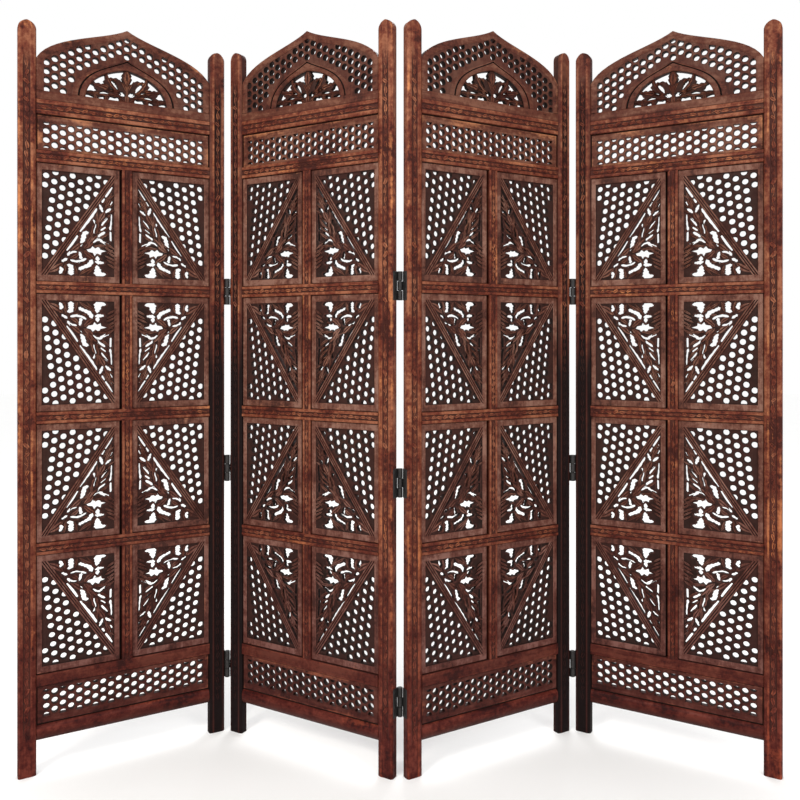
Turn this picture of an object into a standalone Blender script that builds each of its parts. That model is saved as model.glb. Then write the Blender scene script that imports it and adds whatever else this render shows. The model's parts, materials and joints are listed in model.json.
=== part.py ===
# Carved wooden folding screen: four pierced leaves, hinged in a zigzag, standing on their feet.
# Metres, Z up. The screen faces -Y, its origin is on the floor in the middle of its footprint.

import math

import bmesh
import bpy
from mathutils import Vector
from mathutils.geometry import delaunay_2d_cdt

# The zigzag
FOLD_ANGLE = math.radians(59.0)
HINGE_GAP = 0.014

# One leaf, seen from the front
LEAF_WIDTH = 0.508
STILE_WIDTH = 0.041
MUNTIN_WIDTH = 0.025
GROOVE_WIDTH = 0.005
FOOT_HEIGHT = 0.081
BOTTOM_RAIL_HEIGHT = 0.038
LOWER_STRIP_HEIGHT = 0.094
TIER_COUNT = 4
TILE_HEIGHT = 0.290
RAIL_HEIGHT = 0.029
SECOND_RAIL_HEIGHT = 0.030
UPPER_STRIP_HEIGHT = 0.088
TOP_RAIL_HEIGHT = 0.035
STILE_ABOVE_ARCH_FOOT = 0.187

# Thicknesses: how far each face stands in front of or behind the middle plane of a leaf
STILE_THICKNESS = 0.025
STILE_CHAMFER = 0.004
RAIL_THICKNESS = 0.022
ARCH_THICKNESS = 0.020
TILE_FRONT = 0.006
PANEL_FRONT = 0.003
TILE_BACK = 0.009
GROOVE_DEPTH = 0.012

# A tile: its window, its lattice slots and the gaps between its carved leaves
WINDOW_SIDE_BORDER = 0.0165
WINDOW_INNER_BORDER = 0.0105
WINDOW_END_BORDER = 0.018
DIAGONAL_WIDTH = 0.020
SLOT_WIDTH = 0.024
SLOT_WEB = 0.018
LEAST_SLOT = 0.036
LEAF_GAP_WIDTH = 0.014
WAIST_PLACE = 0.4

# The two lattice strips
STRIP_SLOTS = 7
STRIP_SIDE_BORDER = 0.014
STRIP_EDGE_BORDER = 0.014
STRIP_WEB = 0.016

# The arch board
ARCH_HEIGHT = 0.204
ARCH_SHOULDER = 0.101
ARCH_RIM = 0.017
ARCH_FOOT_BAND = 0.022
EYE_HALF_WIDTH = 0.098
EYE_HEIGHT = 0.078
EYE_RING = 0.024
LEAST_SPANDREL_SLOT = 0.004
FAN_LEAVES = 7
FAN_LEAF_WIDTH = 0.015
FAN_ROOT_RADIUS = 0.022
ARCH_STEPS = 6

# How many flats a round takes
STILE_TOP_STEPS = 6
BOTTOM_RAIL_STEPS = 5
KNUCKLE_SIDES = 8

# The hinges
HINGE_HEIGHT = 0.070
HINGE_CENTRES = {"top": 1.187, "middle": 0.710, "bottom": 0.180}
HINGE_PLATE = 0.0022
HINGE_PLATE_WIDTH = 0.021
KNUCKLE_RADIUS = 0.0064
PIN_RADIUS = 0.0024
PIN_CLEARANCE = 0.0006
PIN_PROUD = 0.0010

# Clearances
GLUE_GAP = 0.0003
KNUCKLE_GAP = 0.0005

# What follows from them
LEAF_ANGLE = FOLD_ANGLE / 2
INNER_LEFT = STILE_WIDTH + GLUE_GAP
INNER_RIGHT = LEAF_WIDTH - STILE_WIDTH - GLUE_GAP
INNER_WIDTH = INNER_RIGHT - INNER_LEFT
MUNTIN_LEFT = (LEAF_WIDTH - MUNTIN_WIDTH) / 2
MUNTIN_RIGHT = MUNTIN_LEFT + MUNTIN_WIDTH
LOWER_STRIP_FOOT = FOOT_HEIGHT + BOTTOM_RAIL_HEIGHT
TIERS_FOOT = LOWER_STRIP_FOOT + LOWER_STRIP_HEIGHT
TIER_HEIGHT = RAIL_HEIGHT + TILE_HEIGHT
SECOND_RAIL_FOOT = TIERS_FOOT + TIER_COUNT * TIER_HEIGHT
UPPER_STRIP_FOOT = SECOND_RAIL_FOOT + SECOND_RAIL_HEIGHT
TOP_RAIL_FOOT = UPPER_STRIP_FOOT + UPPER_STRIP_HEIGHT
ARCH_FOOT = TOP_RAIL_FOOT + TOP_RAIL_HEIGHT
STILE_HEIGHT = ARCH_FOOT + STILE_ABOVE_ARCH_FOOT
PIN_DEPTH = STILE_THICKNESS / 2 + PIN_PROUD

# Each level is a pair: the front face and the back face, as Y in the leaf
RAIL_LEVEL = (-RAIL_THICKNESS / 2, RAIL_THICKNESS / 2)
ARCH_LEVEL = (-ARCH_THICKNESS / 2, ARCH_THICKNESS / 2)
MUNTIN_LEVEL = (-RAIL_THICKNESS / 2, TILE_BACK)
TILE_LEVEL = (-TILE_FRONT, TILE_BACK)
PANEL_LEVEL = (-PANEL_FRONT, TILE_BACK)
GROOVE_LEVEL = (GROOVE_DEPTH - TILE_BACK, TILE_BACK)
OPEN = None


def clear_scene():
    """Remove whatever the file started with."""
    for item in list(bpy.data.objects):
        bpy.data.objects.remove(item)


def finish(name, colour, roughness, metallic=0.0):
    """A plain material."""
    material = bpy.data.materials.get(name)
    if material is None:
        material = bpy.data.materials.new(name)
        material.use_nodes = True
        shader = material.node_tree.nodes["Principled BSDF"]
        shader.inputs["Base Color"].default_value = (*colour, 1.0)
        shader.inputs["Roughness"].default_value = roughness
        shader.inputs["Metallic"].default_value = metallic
    return material


def frame_wood():
    return finish("frame_wood", (0.19, 0.060, 0.028), 0.5)


def tile_wood():
    return finish("tile_wood", (0.13, 0.062, 0.040), 0.6)


def arch_wood():
    return finish("arch_wood", (0.16, 0.055, 0.030), 0.55)


def black_iron():
    return finish("black_iron", (0.012, 0.011, 0.011), 0.45, 0.8)


# Outlines, as lists of (across, up) points

def rectangle(left, foot, right, top):
    return [(left, foot), (right, foot), (right, top), (left, top)]


def turned(outline):
    """The same outline, running anticlockwise."""
    doubled_area = 0.0
    for (x1, y1), (x2, y2) in zip(outline, outline[1:] + outline[:1]):
        doubled_area += x1 * y2 - x2 * y1
    return outline if doubled_area > 0 else outline[::-1]


def kite(root, tip, width):
    """A leaf-shaped gap from its root to its tip, widest nearer its root."""
    (x1, y1), (x2, y2) = root, tip
    length = math.hypot(x2 - x1, y2 - y1)
    along = ((x2 - x1) / length, (y2 - y1) / length)
    side = (-along[1] * width / 2, along[0] * width / 2)
    waist = (x1 + (x2 - x1) * WAIST_PLACE, y1 + (y2 - y1) * WAIST_PLACE)
    return [root, (waist[0] - side[0], waist[1] - side[1]), tip, (waist[0] + side[0], waist[1] + side[1])]


def bezier(p0, p1, p2, p3, t):
    """A point on a cubic curve."""
    s = 1 - t
    a, b, c, d = s * s * s, 3 * s * s * t, 3 * s * t * t, t * t * t
    return (a * p0[0] + b * p1[0] + c * p2[0] + d * p3[0], a * p0[1] + b * p1[1] + c * p2[1] + d * p3[1])


def circle(centre, radius, sides):
    """A regular polygon whose corners lie on the circle, flat towards the sides."""
    points = []
    for k in range(sides):
        angle = 2 * math.pi * (k + 0.5) / sides
        points.append((centre[0] + radius * math.cos(angle), centre[1] + radius * math.sin(angle)))
    return points


# A board with steps and openings

def cut_plane(areas):
    """Cut the plane along all outlines. Gives the corners, and each triangle with its level."""
    points = []
    faces = []
    levels = []
    for outline, level in areas:
        start = len(points)
        points.extend(Vector(point) for point in turned(outline))
        faces.append(list(range(start, len(points))))
        levels.append(level)
    corners, _, triangles, _, _, owners = delaunay_2d_cdt(points, [], faces, 1, 1e-7, True)
    solid = []
    for triangle, owner in zip(triangles, owners):
        level = levels[max(owner)] if owner else OPEN
        if level is not OPEN:
            solid.append((tuple(triangle), level))
    return corners, solid


def wall_runs(near, far):
    """The stretches where one side of an edge is solid and the other is not."""
    if far is OPEN:
        return [near]
    runs = []
    for one, other in ((near, far), (far, near)):
        if one[0] < other[0]:
            runs.append((one[0], min(one[1], other[0])))
        if one[1] > other[1]:
            runs.append((max(one[0], other[1]), one[1]))
    return runs


def relief_mesh(name, areas, to_space):
    """One closed body: each area reaches from the first to the second value of its level."""
    corners, solid = cut_plane(areas)
    stops = {}
    sides = {}
    for triangle, level in solid:
        for k in range(3):
            a, b = triangle[k], triangle[(k + 1) % 3]
            stops.setdefault(a, set()).update(level)
            sides.setdefault((min(a, b), max(a, b)), []).append(level)

    body = bmesh.new()
    made = {}

    def vertex(corner, depth):
        key = (corner, depth)
        if key not in made:
            made[key] = body.verts.new(to_space(corners[corner][0], corners[corner][1], depth))
        return made[key]

    for triangle, level in solid:
        body.faces.new([vertex(corner, level[0]) for corner in triangle])
        body.faces.new([vertex(corner, level[1]) for corner in reversed(triangle)])
    for (a, b), levels in sides.items():
        far = levels[1] if len(levels) == 2 else OPEN
        for low, high in wall_runs(levels[0], far):
            left = sorted(stop for stop in stops[a] if low <= stop <= high)
            right = sorted(stop for stop in stops[b] if low <= stop <= high)
            i = 0
            j = 0
            while i < len(left) - 1 or j < len(right) - 1:
                step_left = j == len(right) - 1 or (i < len(left) - 1 and left[i + 1] <= right[j + 1])
                if step_left:
                    body.faces.new((vertex(a, left[i]), vertex(a, left[i + 1]), vertex(b, right[j])))
                    i += 1
                else:
                    body.faces.new((vertex(a, left[i]), vertex(b, right[j + 1]), vertex(b, right[j])))
                    j += 1
    return close_body(name, body)


def close_body(name, body):
    """Turn the faces outwards and make the mesh."""
    bmesh.ops.recalc_face_normals(body, faces=body.faces)
    mesh = bpy.data.meshes.new(name)
    body.to_mesh(mesh)
    body.free()
    return mesh


def upright(x, z, y):
    """A board stands upright: its outline is across and up, its depth runs to the back."""
    return Vector((x, y, z))


def loft(name, rings):
    """Join rings of equal length one after the other, and close both ends."""
    body = bmesh.new()
    rows = [[body.verts.new(point) for point in ring] for ring in rings]
    body.faces.new(rows[0])
    body.faces.new(rows[-1][::-1])
    for row, following in zip(rows, rows[1:]):
        for k in range(len(row)):
            n = (k + 1) % len(row)
            body.faces.new((row[k], row[n], following[n], following[k]))
    return close_body(name, body)


# The pieces of one leaf, in the leaf's own frame: X from its left edge, Y 0 in its middle plane

def stile_outline(inset):
    """A post with a round top, seen from the front."""
    radius = STILE_WIDTH / 2
    steps = STILE_TOP_STEPS
    points = [(inset, 0.0), (STILE_WIDTH - inset, 0.0)]
    for k in range(steps + 1):
        angle = math.pi * k / steps
        points.append((radius + (radius - inset) * math.cos(angle),
                       STILE_HEIGHT - radius + (radius - inset) * math.sin(angle)))
    return points


def stile_mesh():
    half = STILE_THICKNESS / 2
    rings = []
    for depth, inset in ((-half, STILE_CHAMFER), (-half + STILE_CHAMFER, 0.0),
                         (half - STILE_CHAMFER, 0.0), (half, STILE_CHAMFER)):
        rings.append([Vector((x, depth, z)) for x, z in stile_outline(inset)])
    return loft("stile", rings)


def window_of_tile(side):
    """The sunk window: left and right edge of the tile on this side of the muntin."""
    if side == "left":
        return INNER_LEFT + WINDOW_SIDE_BORDER, MUNTIN_LEFT - GROOVE_WIDTH - WINDOW_INNER_BORDER
    return MUNTIN_RIGHT + WINDOW_SIDE_BORDER, INNER_RIGHT - WINDOW_SIDE_BORDER


def lattice_slots(width, height):
    """Upright slots in the lattice half, cut short by the diagonal bar. Origin: window's outer foot."""
    slope = height / width
    clear = DIAGONAL_WIDTH / 2 * math.hypot(1, slope) + GLUE_GAP
    slots = []
    left = SLOT_WEB / 2
    while height - slope * (left + SLOT_WIDTH) - clear > LEAST_SLOT:
        right = left + SLOT_WIDTH
        top = height - SLOT_WEB / 2
        slots.append([(left, slope * left + clear), (right, slope * right + clear), (right, top), (left, top)])
        left = right + SLOT_WEB
    return slots


def leaf_gaps(width, height):
    """Gaps between the carved leaves below the diagonal bar, as shares of the window."""
    places = (((0.50, 0.38), (0.76, 0.70)), ((0.56, 0.22), (0.93, 0.24)), ((0.92, 0.34), (0.94, 0.64)))
    gaps = []
    for root, tip in places:
        gaps.append(kite((root[0] * width, root[1] * height), (tip[0] * width, tip[1] * height),
                         LEAF_GAP_WIDTH))
    return gaps


def tile_openings(side, foot, upside_down):
    """All openings of a tile, mirrored so that the foliage lies against the muntin."""
    left, right = window_of_tile(side)
    width = right - left
    height = TILE_HEIGHT - 2 * WINDOW_END_BORDER
    openings = []
    for outline in lattice_slots(width, height) + leaf_gaps(width, height):
        placed = []
        for x, z in outline:
            across = left + x if side == "left" else right - x
            up = height - z if upside_down else z
            placed.append((across, foot + WINDOW_END_BORDER + up))
        openings.append(placed)
    return openings


def tier_areas(tier):
    """Two carved tiles, the muntin between them and the rail under them. Tier 1 is the top one."""
    rail_foot = TIERS_FOOT + (TIER_COUNT - tier) * TIER_HEIGHT + GLUE_GAP
    foot = rail_foot - GLUE_GAP + RAIL_HEIGHT
    top = foot + TILE_HEIGHT
    areas = [(rectangle(INNER_LEFT, foot, INNER_RIGHT, top), TILE_LEVEL)]
    for side in ("left", "right"):
        left, right = window_of_tile(side)
        window = rectangle(left, foot + WINDOW_END_BORDER, right, top - WINDOW_END_BORDER)
        areas.append((window, PANEL_LEVEL))
        for opening in tile_openings(side, foot, upside_down=tier % 2 == 0):
            areas.append((opening, OPEN))
    areas.append((rectangle(MUNTIN_LEFT - GROOVE_WIDTH, foot, MUNTIN_LEFT, top), GROOVE_LEVEL))
    areas.append((rectangle(MUNTIN_LEFT, foot, MUNTIN_RIGHT, top), MUNTIN_LEVEL))
    areas.append((rectangle(INNER_LEFT, rail_foot, INNER_RIGHT, foot), RAIL_LEVEL))
    return areas


def strip_slots(foot, top):
    """A row of upright slots along a lattice strip."""
    openings = []
    run = INNER_WIDTH - 2 * STRIP_SIDE_BORDER
    pitch = (run + STRIP_WEB) / STRIP_SLOTS
    for k in range(STRIP_SLOTS):
        left = INNER_LEFT + STRIP_SIDE_BORDER + k * pitch
        slot = rectangle(left, foot + STRIP_EDGE_BORDER, left + pitch - STRIP_WEB, top - STRIP_EDGE_BORDER)
        openings.append((slot, OPEN))
    return openings


def upper_lattice_areas():
    """The strip of lattice between the second rail and the top rail."""
    strip_top = UPPER_STRIP_FOOT + UPPER_STRIP_HEIGHT
    second_rail = rectangle(INNER_LEFT, SECOND_RAIL_FOOT + GLUE_GAP, INNER_RIGHT, UPPER_STRIP_FOOT)
    top_rail = rectangle(INNER_LEFT, strip_top, INNER_RIGHT, ARCH_FOOT)
    areas = [(second_rail, RAIL_LEVEL), (top_rail, RAIL_LEVEL)]
    areas.append((rectangle(INNER_LEFT, UPPER_STRIP_FOOT, INNER_RIGHT, strip_top), TILE_LEVEL))
    return areas + strip_slots(UPPER_STRIP_FOOT, strip_top)


def lower_lattice_areas():
    foot = LOWER_STRIP_FOOT + GLUE_GAP
    areas = [(rectangle(INNER_LEFT, foot, INNER_RIGHT, TIERS_FOOT), TILE_LEVEL)]
    return areas + strip_slots(foot, TIERS_FOOT)


def bottom_rail_mesh():
    """A rail whose front is rounded from top to bottom."""
    half = RAIL_THICKNESS / 2
    steps = BOTTOM_RAIL_STEPS
    section = [(half, FOOT_HEIGHT), (half, LOWER_STRIP_FOOT)]
    for k in range(steps + 1):
        angle = math.pi * k / steps
        section.append((-math.sin(angle) * half,
                        FOOT_HEIGHT + BOTTOM_RAIL_HEIGHT / 2 * (1 + math.cos(angle))))
    rings = []
    for x in (INNER_LEFT, INNER_RIGHT):
        rings.append([Vector((x, y, z)) for y, z in section])
    return loft("bottom_rail", rings)


def arch_edge(t):
    """The ogee edge of the arch board, from the shoulder (0) to the point (1), about its middle."""
    half = INNER_WIDTH / 2
    return bezier((half, ARCH_SHOULDER), (half * 0.84, ARCH_HEIGHT * 0.745),
                  (half * 0.235, ARCH_HEIGHT * 0.877), (0.0, ARCH_HEIGHT), t)


def eye_edge(t, grown=0.0):
    """The pointed eye around the fan, from its foot (0) to its point (1)."""
    half = EYE_HALF_WIDTH + grown
    height = EYE_HEIGHT + grown
    return bezier((half, 0.0), (half * 0.92, height * 0.62), (half * 0.45, height * 0.84), (0.0, height), t)


def height_at(curve, across):
    """How high a curve stands at a distance from the middle."""
    low, high = 0.0, 1.0
    for _ in range(30):
        t = (low + high) / 2
        if curve(t)[0] > across:
            low = t
        else:
            high = t
    return curve(low)[1]


def fan_gaps():
    """The gaps between the leaves of the fan, each one a wedge."""
    gaps = []
    step = math.pi / (FAN_LEAVES - 1)
    for k in range(FAN_LEAVES - 1):
        middle = (k + 0.5) * step
        root = (FAN_ROOT_RADIUS * math.cos(middle), FAN_ROOT_RADIUS * math.sin(middle))
        rim = []
        for lean in (-0.5, 0.5):
            angle = middle + lean * step
            reach = eye_reach(angle)
            shift = FAN_LEAF_WIDTH / 2 * (1 if lean < 0 else -1)
            rim.append((reach * math.cos(angle) - shift * math.sin(angle),
                        max(reach * math.sin(angle) + shift * math.cos(angle), FAN_LEAF_WIDTH / 2)))
        gaps.append([root, rim[0], rim[1]])
    return gaps


def eye_reach(angle):
    """The distance from the fan's root to the eye's edge in a direction."""
    sine = math.sin(angle)
    cosine = abs(math.cos(angle))
    if cosine < 1e-6:
        return EYE_HEIGHT - FAN_LEAF_WIDTH / 2
    low, high = 0.0, 1.0
    for _ in range(30):
        t = (low + high) / 2
        x, z = eye_edge(t)
        if z * cosine < x * sine:
            low = t
        else:
            high = t
    x, z = eye_edge(low)
    return math.hypot(x, z)


def spandrel_slots():
    """Lattice slots between the arch's rim and the eye's ring, on the right half."""
    half = INNER_WIDTH / 2
    slots = []
    left = ARCH_RIM / 2
    while left + SLOT_WIDTH < half - ARCH_RIM:
        right = left + SLOT_WIDTH
        slot = []
        for x in (left, right):
            foot = 0.0
            if x < EYE_HALF_WIDTH + EYE_RING:
                foot = height_at(lambda t: eye_edge(t, EYE_RING), x)
            top = height_at(arch_edge, x) - ARCH_RIM
            slot.append((x, foot + ARCH_FOOT_BAND, top))
        (x1, foot1, top1), (x2, foot2, top2) = slot
        if min(top1 - foot1, top2 - foot2) > LEAST_SPANDREL_SLOT:
            slots.append([(x1, foot1), (x2, foot2), (x2, top2), (x1, top1)])
        left = right + SLOT_WEB
    return slots


def arch_areas():
    """The pierced board with its ogee edge."""
    middle = LEAF_WIDTH / 2
    foot = ARCH_FOOT + GLUE_GAP
    half_edge = [arch_edge(k / ARCH_STEPS) for k in range(ARCH_STEPS + 1)]
    outline = [(middle + half_edge[0][0], foot)]
    outline += [(middle + x, ARCH_FOOT + z) for x, z in half_edge]
    outline += [(middle - x, ARCH_FOOT + z) for x, z in half_edge[-2::-1]]
    outline.append((middle - half_edge[0][0], foot))
    areas = [(outline, ARCH_LEVEL)]
    for gap in fan_gaps():
        areas.append(([(middle + x, ARCH_FOOT + ARCH_FOOT_BAND + z) for x, z in gap], OPEN))
    for slot in spandrel_slots():
        for side in (1, -1):
            areas.append(([(middle + side * x, ARCH_FOOT + z) for x, z in slot], OPEN))
    return areas


def leaf_pieces():
    """Every piece of a leaf: its name, its mesh, how far along it starts, and its material."""
    stile = stile_mesh()
    pieces = [("stile_left", stile, 0.0, frame_wood()),
              ("stile_right", stile, LEAF_WIDTH - STILE_WIDTH, frame_wood()),
              ("arch", relief_mesh("arch", arch_areas(), upright), 0.0, arch_wood()),
              ("upper_lattice", relief_mesh("upper_lattice", upper_lattice_areas(), upright), 0.0,
               tile_wood())]
    for tier in range(1, TIER_COUNT + 1):
        name = f"tier_{tier}"
        pieces.append((name, relief_mesh(name, tier_areas(tier), upright), 0.0, tile_wood()))
    pieces.append(("lower_lattice", relief_mesh("lower_lattice", lower_lattice_areas(), upright), 0.0,
                   tile_wood()))
    pieces.append(("bottom_rail", bottom_rail_mesh(), 0.0, frame_wood()))
    return pieces


# Hinges, about their pin: stile on one side, wood behind (+1) or in front (-1) of the pin

def notch_depth():
    """How far a plate is cut back beside the other half's knuckles."""
    return math.sqrt((KNUCKLE_RADIUS + KNUCKLE_GAP) ** 2 - (HINGE_GAP / 2 - HINGE_PLATE) ** 2)


def hinge_plan(hand, wood, full):
    """The plate against the stile's edge, seen from above, as far as the pin or as far as its notch."""
    outer = hand * (HINGE_GAP / 2 - GLUE_GAP)
    inner = hand * (HINGE_GAP / 2 - HINGE_PLATE)
    start = 0.0 if full else wood * notch_depth()
    end = wood * (PIN_PROUD + HINGE_PLATE_WIDTH)
    return rectangle(inner, start, outer, end)


def knuckle_outline():
    return circle((0.0, 0.0), KNUCKLE_RADIUS, KNUCKLE_SIDES)


def flat_lying(x, y, z):
    return Vector((x, y, z))


def prism(name, outline, low, high, to_space):
    """An outline pushed straight from one depth to another."""
    rings = []
    for depth in (low, high):
        rings.append([to_space(a, b, depth) for a, b in outline])
    return loft(name, rings)


def joined_mesh(name, meshes):
    """One body from several that overlap."""
    items = [bpy.data.objects.new(f"{name}_{k}", mesh) for k, mesh in enumerate(meshes)]
    for item in items:
        bpy.context.collection.objects.link(item)
    for other in items[1:]:
        union = items[0].modifiers.new("union", "BOOLEAN")
        union.operation = "UNION"
        union.solver = "EXACT"
        union.object = other
    graph = bpy.context.evaluated_depsgraph_get()
    mesh = bpy.data.meshes.new_from_object(items[0].evaluated_get(graph))
    for item in items:
        bpy.data.objects.remove(item)
    return mesh


def on_edge(y, z, x):
    """A hinge plate lies against the stile's edge: its outline is along Y and Z."""
    return Vector((x, y, z))


def outer_half_mesh(name, hand, wood):
    """The half with the two outer knuckles and the pin."""
    third = HINGE_HEIGHT / 3
    notch = wood * notch_depth()
    end = wood * (PIN_PROUD + HINGE_PLATE_WIDTH)
    low = third - KNUCKLE_GAP
    high = 2 * third + KNUCKLE_GAP
    plate = [(0.0, 0.0), (end, 0.0), (end, HINGE_HEIGHT), (0.0, HINGE_HEIGHT),
             (0.0, high), (notch, high), (notch, low), (0.0, low)]
    inner = hand * (HINGE_GAP / 2 - HINGE_PLATE)
    outer = hand * (HINGE_GAP / 2 - GLUE_GAP)
    pin = circle((0.0, 0.0), PIN_RADIUS, KNUCKLE_SIDES)
    shapes = [prism(name, plate, inner, outer, on_edge),
              prism(name, knuckle_outline(), 0.0, low, flat_lying),
              prism(name, knuckle_outline(), high, HINGE_HEIGHT, flat_lying),
              prism(name, pin, low - PIN_RADIUS, high + PIN_RADIUS, flat_lying)]
    return joined_mesh(name, shapes)


def inner_half_mesh(name, hand, wood):
    """The half with the middle knuckle, bored for the pin."""
    third = HINGE_HEIGHT / 3
    middle = (third + KNUCKLE_GAP, 2 * third - KNUCKLE_GAP)
    bore = circle((0.0, 0.0), (PIN_RADIUS + PIN_CLEARANCE) / math.cos(math.pi / KNUCKLE_SIDES),
                  KNUCKLE_SIDES)
    shape = [(hinge_plan(hand, wood, full=True), middle), (knuckle_outline(), middle),
             (hinge_plan(hand, wood, full=False), (0.0, HINGE_HEIGHT)), (bore, OPEN)]
    return relief_mesh(name, shape, flat_lying)


# Placing

def put(name, mesh, parent, location, material):
    """One node, under its leaf's empty."""
    node = bpy.data.objects.new(name, mesh.copy())
    node.data.materials.clear()
    node.data.materials.append(material)
    node.parent = parent
    node.location = location
    bpy.context.collection.objects.link(node)
    return node


def empty(name, location, angle, parent=None):
    """A leaf's own frame: its X runs along the leaf."""
    frame = bpy.data.objects.new(name, None)
    frame.location = location
    frame.rotation_euler = (0.0, 0.0, angle)
    frame.parent = parent
    bpy.context.collection.objects.link(frame)
    return frame


def turn(point, angle):
    return (point[0] * math.cos(angle) - point[1] * math.sin(angle),
            point[0] * math.sin(angle) + point[1] * math.cos(angle))


def hinge_axis(edge, pin_side):
    """A pin seen from a leaf: past its left or right edge, at its front (-1) or back (+1) face."""
    across = -HINGE_GAP / 2 if edge == "left" else LEAF_WIDTH + HINGE_GAP / 2
    return across, pin_side * PIN_DEPTH


def screen_depth_middle():
    """The middle of the footprint along Y, measured from the pins of the middle hinge line."""
    half = STILE_THICKNESS / 2
    corners = []
    for axis, angle, anchor in ((hinge_axis("left", 1), LEAF_ANGLE, (0.0, 0.0)),
                                (hinge_axis("left", -1), -LEAF_ANGLE, outer_pin())):
        for x, y in ((0.0, half - STILE_CHAMFER), (STILE_CHAMFER, half), (LEAF_WIDTH - STILE_CHAMFER, half),
                     (LEAF_WIDTH, half - STILE_CHAMFER)):
            for face in (1, -1):
                offset = turn((x - axis[0], face * y - axis[1]), angle)
                corners.append(anchor[1] + offset[1])
    return (min(corners) + max(corners)) / 2


def outer_pin():
    """From the middle line's pins to the right-hand line's pins."""
    start = hinge_axis("left", 1)
    end = hinge_axis("right", -1)
    return turn((end[0] - start[0], end[1] - start[1]), LEAF_ANGLE)


def build_leaf(number, frame, axis, pieces):
    """Put a leaf's pieces into its frame, whose origin is the leaf's hinge axis."""
    for name, mesh, start, material in pieces:
        put(f"leaf_{number}_{name}", mesh, frame, (start - axis[0], -axis[1], 0.0), material)


def build_hinges(line, left_frame, left_axis, right_frame, right_axis, pin_side):
    """Three hinges on one line: the left half carries the pins."""
    left_from = hinge_axis("right", pin_side)
    right_from = hinge_axis("left", pin_side)
    wood = -pin_side
    left_mesh = outer_half_mesh(f"outer_half_{line}", -1, wood)
    right_mesh = inner_half_mesh(f"inner_half_{line}", 1, wood)
    for height_name, centre in HINGE_CENTRES.items():
        foot = centre - HINGE_HEIGHT / 2
        name = f"hinge_{line}_{height_name}"
        put(name + "_pin_half", left_mesh, left_frame,
            (left_from[0] - left_axis[0], left_from[1] - left_axis[1], foot), black_iron())
        put(name + "_bored_half", right_mesh, right_frame,
            (right_from[0] - right_axis[0], right_from[1] - right_axis[1], foot), black_iron())


def build_screen():
    clear_scene()
    reach = outer_pin()
    middle = screen_depth_middle()
    axis_1 = hinge_axis("right", -1)
    axis_2 = hinge_axis("left", -1)
    axis_3 = hinge_axis("left", 1)
    axis_4 = hinge_axis("left", -1)
    leaf_2 = empty("leaf_2_frame", (-reach[0], reach[1] - middle, 0.0), -LEAF_ANGLE)
    leaf_1 = empty("leaf_1_frame", (0.0, 0.0, 0.0), FOLD_ANGLE, leaf_2)
    step = hinge_axis("right", 1)
    leaf_3 = empty("leaf_3_frame", (step[0] - axis_2[0], step[1] - axis_2[1], 0.0), FOLD_ANGLE, leaf_2)
    step = hinge_axis("right", -1)
    leaf_4 = empty("leaf_4_frame", (step[0] - axis_3[0], step[1] - axis_3[1], 0.0), -FOLD_ANGLE, leaf_3)

    pieces = leaf_pieces()
    for number, frame, axis in ((1, leaf_1, axis_1), (2, leaf_2, axis_2), (3, leaf_3, axis_3),
                                (4, leaf_4, axis_4)):
        build_leaf(number, frame, axis, pieces)
    build_hinges("left", leaf_1, axis_1, leaf_2, axis_2, -1)
    build_hinges("centre", leaf_2, axis_2, leaf_3, axis_3, 1)
    build_hinges("right", leaf_3, axis_3, leaf_4, axis_4, -1)


build_screen()
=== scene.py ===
# %% [markdown]
# # A carved folding screen
# This lesson dresses four hinged wooden leaves with their carving. The plain solids of the
# screen come in first: each one keeps its place and its size, and every carved piece that
# is made here is laid over the solid that it stands for.

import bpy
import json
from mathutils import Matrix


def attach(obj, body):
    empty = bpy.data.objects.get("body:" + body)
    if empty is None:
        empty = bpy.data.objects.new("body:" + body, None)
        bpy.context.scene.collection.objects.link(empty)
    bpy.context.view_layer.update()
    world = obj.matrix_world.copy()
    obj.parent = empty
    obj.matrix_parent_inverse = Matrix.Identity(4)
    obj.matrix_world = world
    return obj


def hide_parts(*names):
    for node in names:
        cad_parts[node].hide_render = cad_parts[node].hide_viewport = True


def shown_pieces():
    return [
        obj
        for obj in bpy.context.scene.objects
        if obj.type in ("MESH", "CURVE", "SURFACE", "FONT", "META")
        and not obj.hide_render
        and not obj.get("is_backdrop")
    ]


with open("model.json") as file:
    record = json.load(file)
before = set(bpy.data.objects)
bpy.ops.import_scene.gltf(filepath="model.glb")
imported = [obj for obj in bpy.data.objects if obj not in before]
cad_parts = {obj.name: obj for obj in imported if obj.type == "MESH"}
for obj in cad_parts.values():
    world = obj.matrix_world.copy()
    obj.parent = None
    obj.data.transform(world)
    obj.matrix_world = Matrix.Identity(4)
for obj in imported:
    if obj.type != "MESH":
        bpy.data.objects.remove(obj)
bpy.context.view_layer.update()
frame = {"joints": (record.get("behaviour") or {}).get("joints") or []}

# %% Helpers from Python and Blender
import json
import math
import random

import bmesh
import bpy
import numpy as np
from mathutils import Matrix, Vector
from mathutils.geometry import delaunay_2d_cdt

MM = 0.001

# %% [markdown]
# ## Sizes of one leaf
# All four leaves are alike, so each piece is drawn once in the leaf's own frame: X runs
# along the leaf from its left edge, Y goes into its thickness with the front at minus, and
# Z is up. The drawing is then copied and turned into its place on each leaf.

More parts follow.
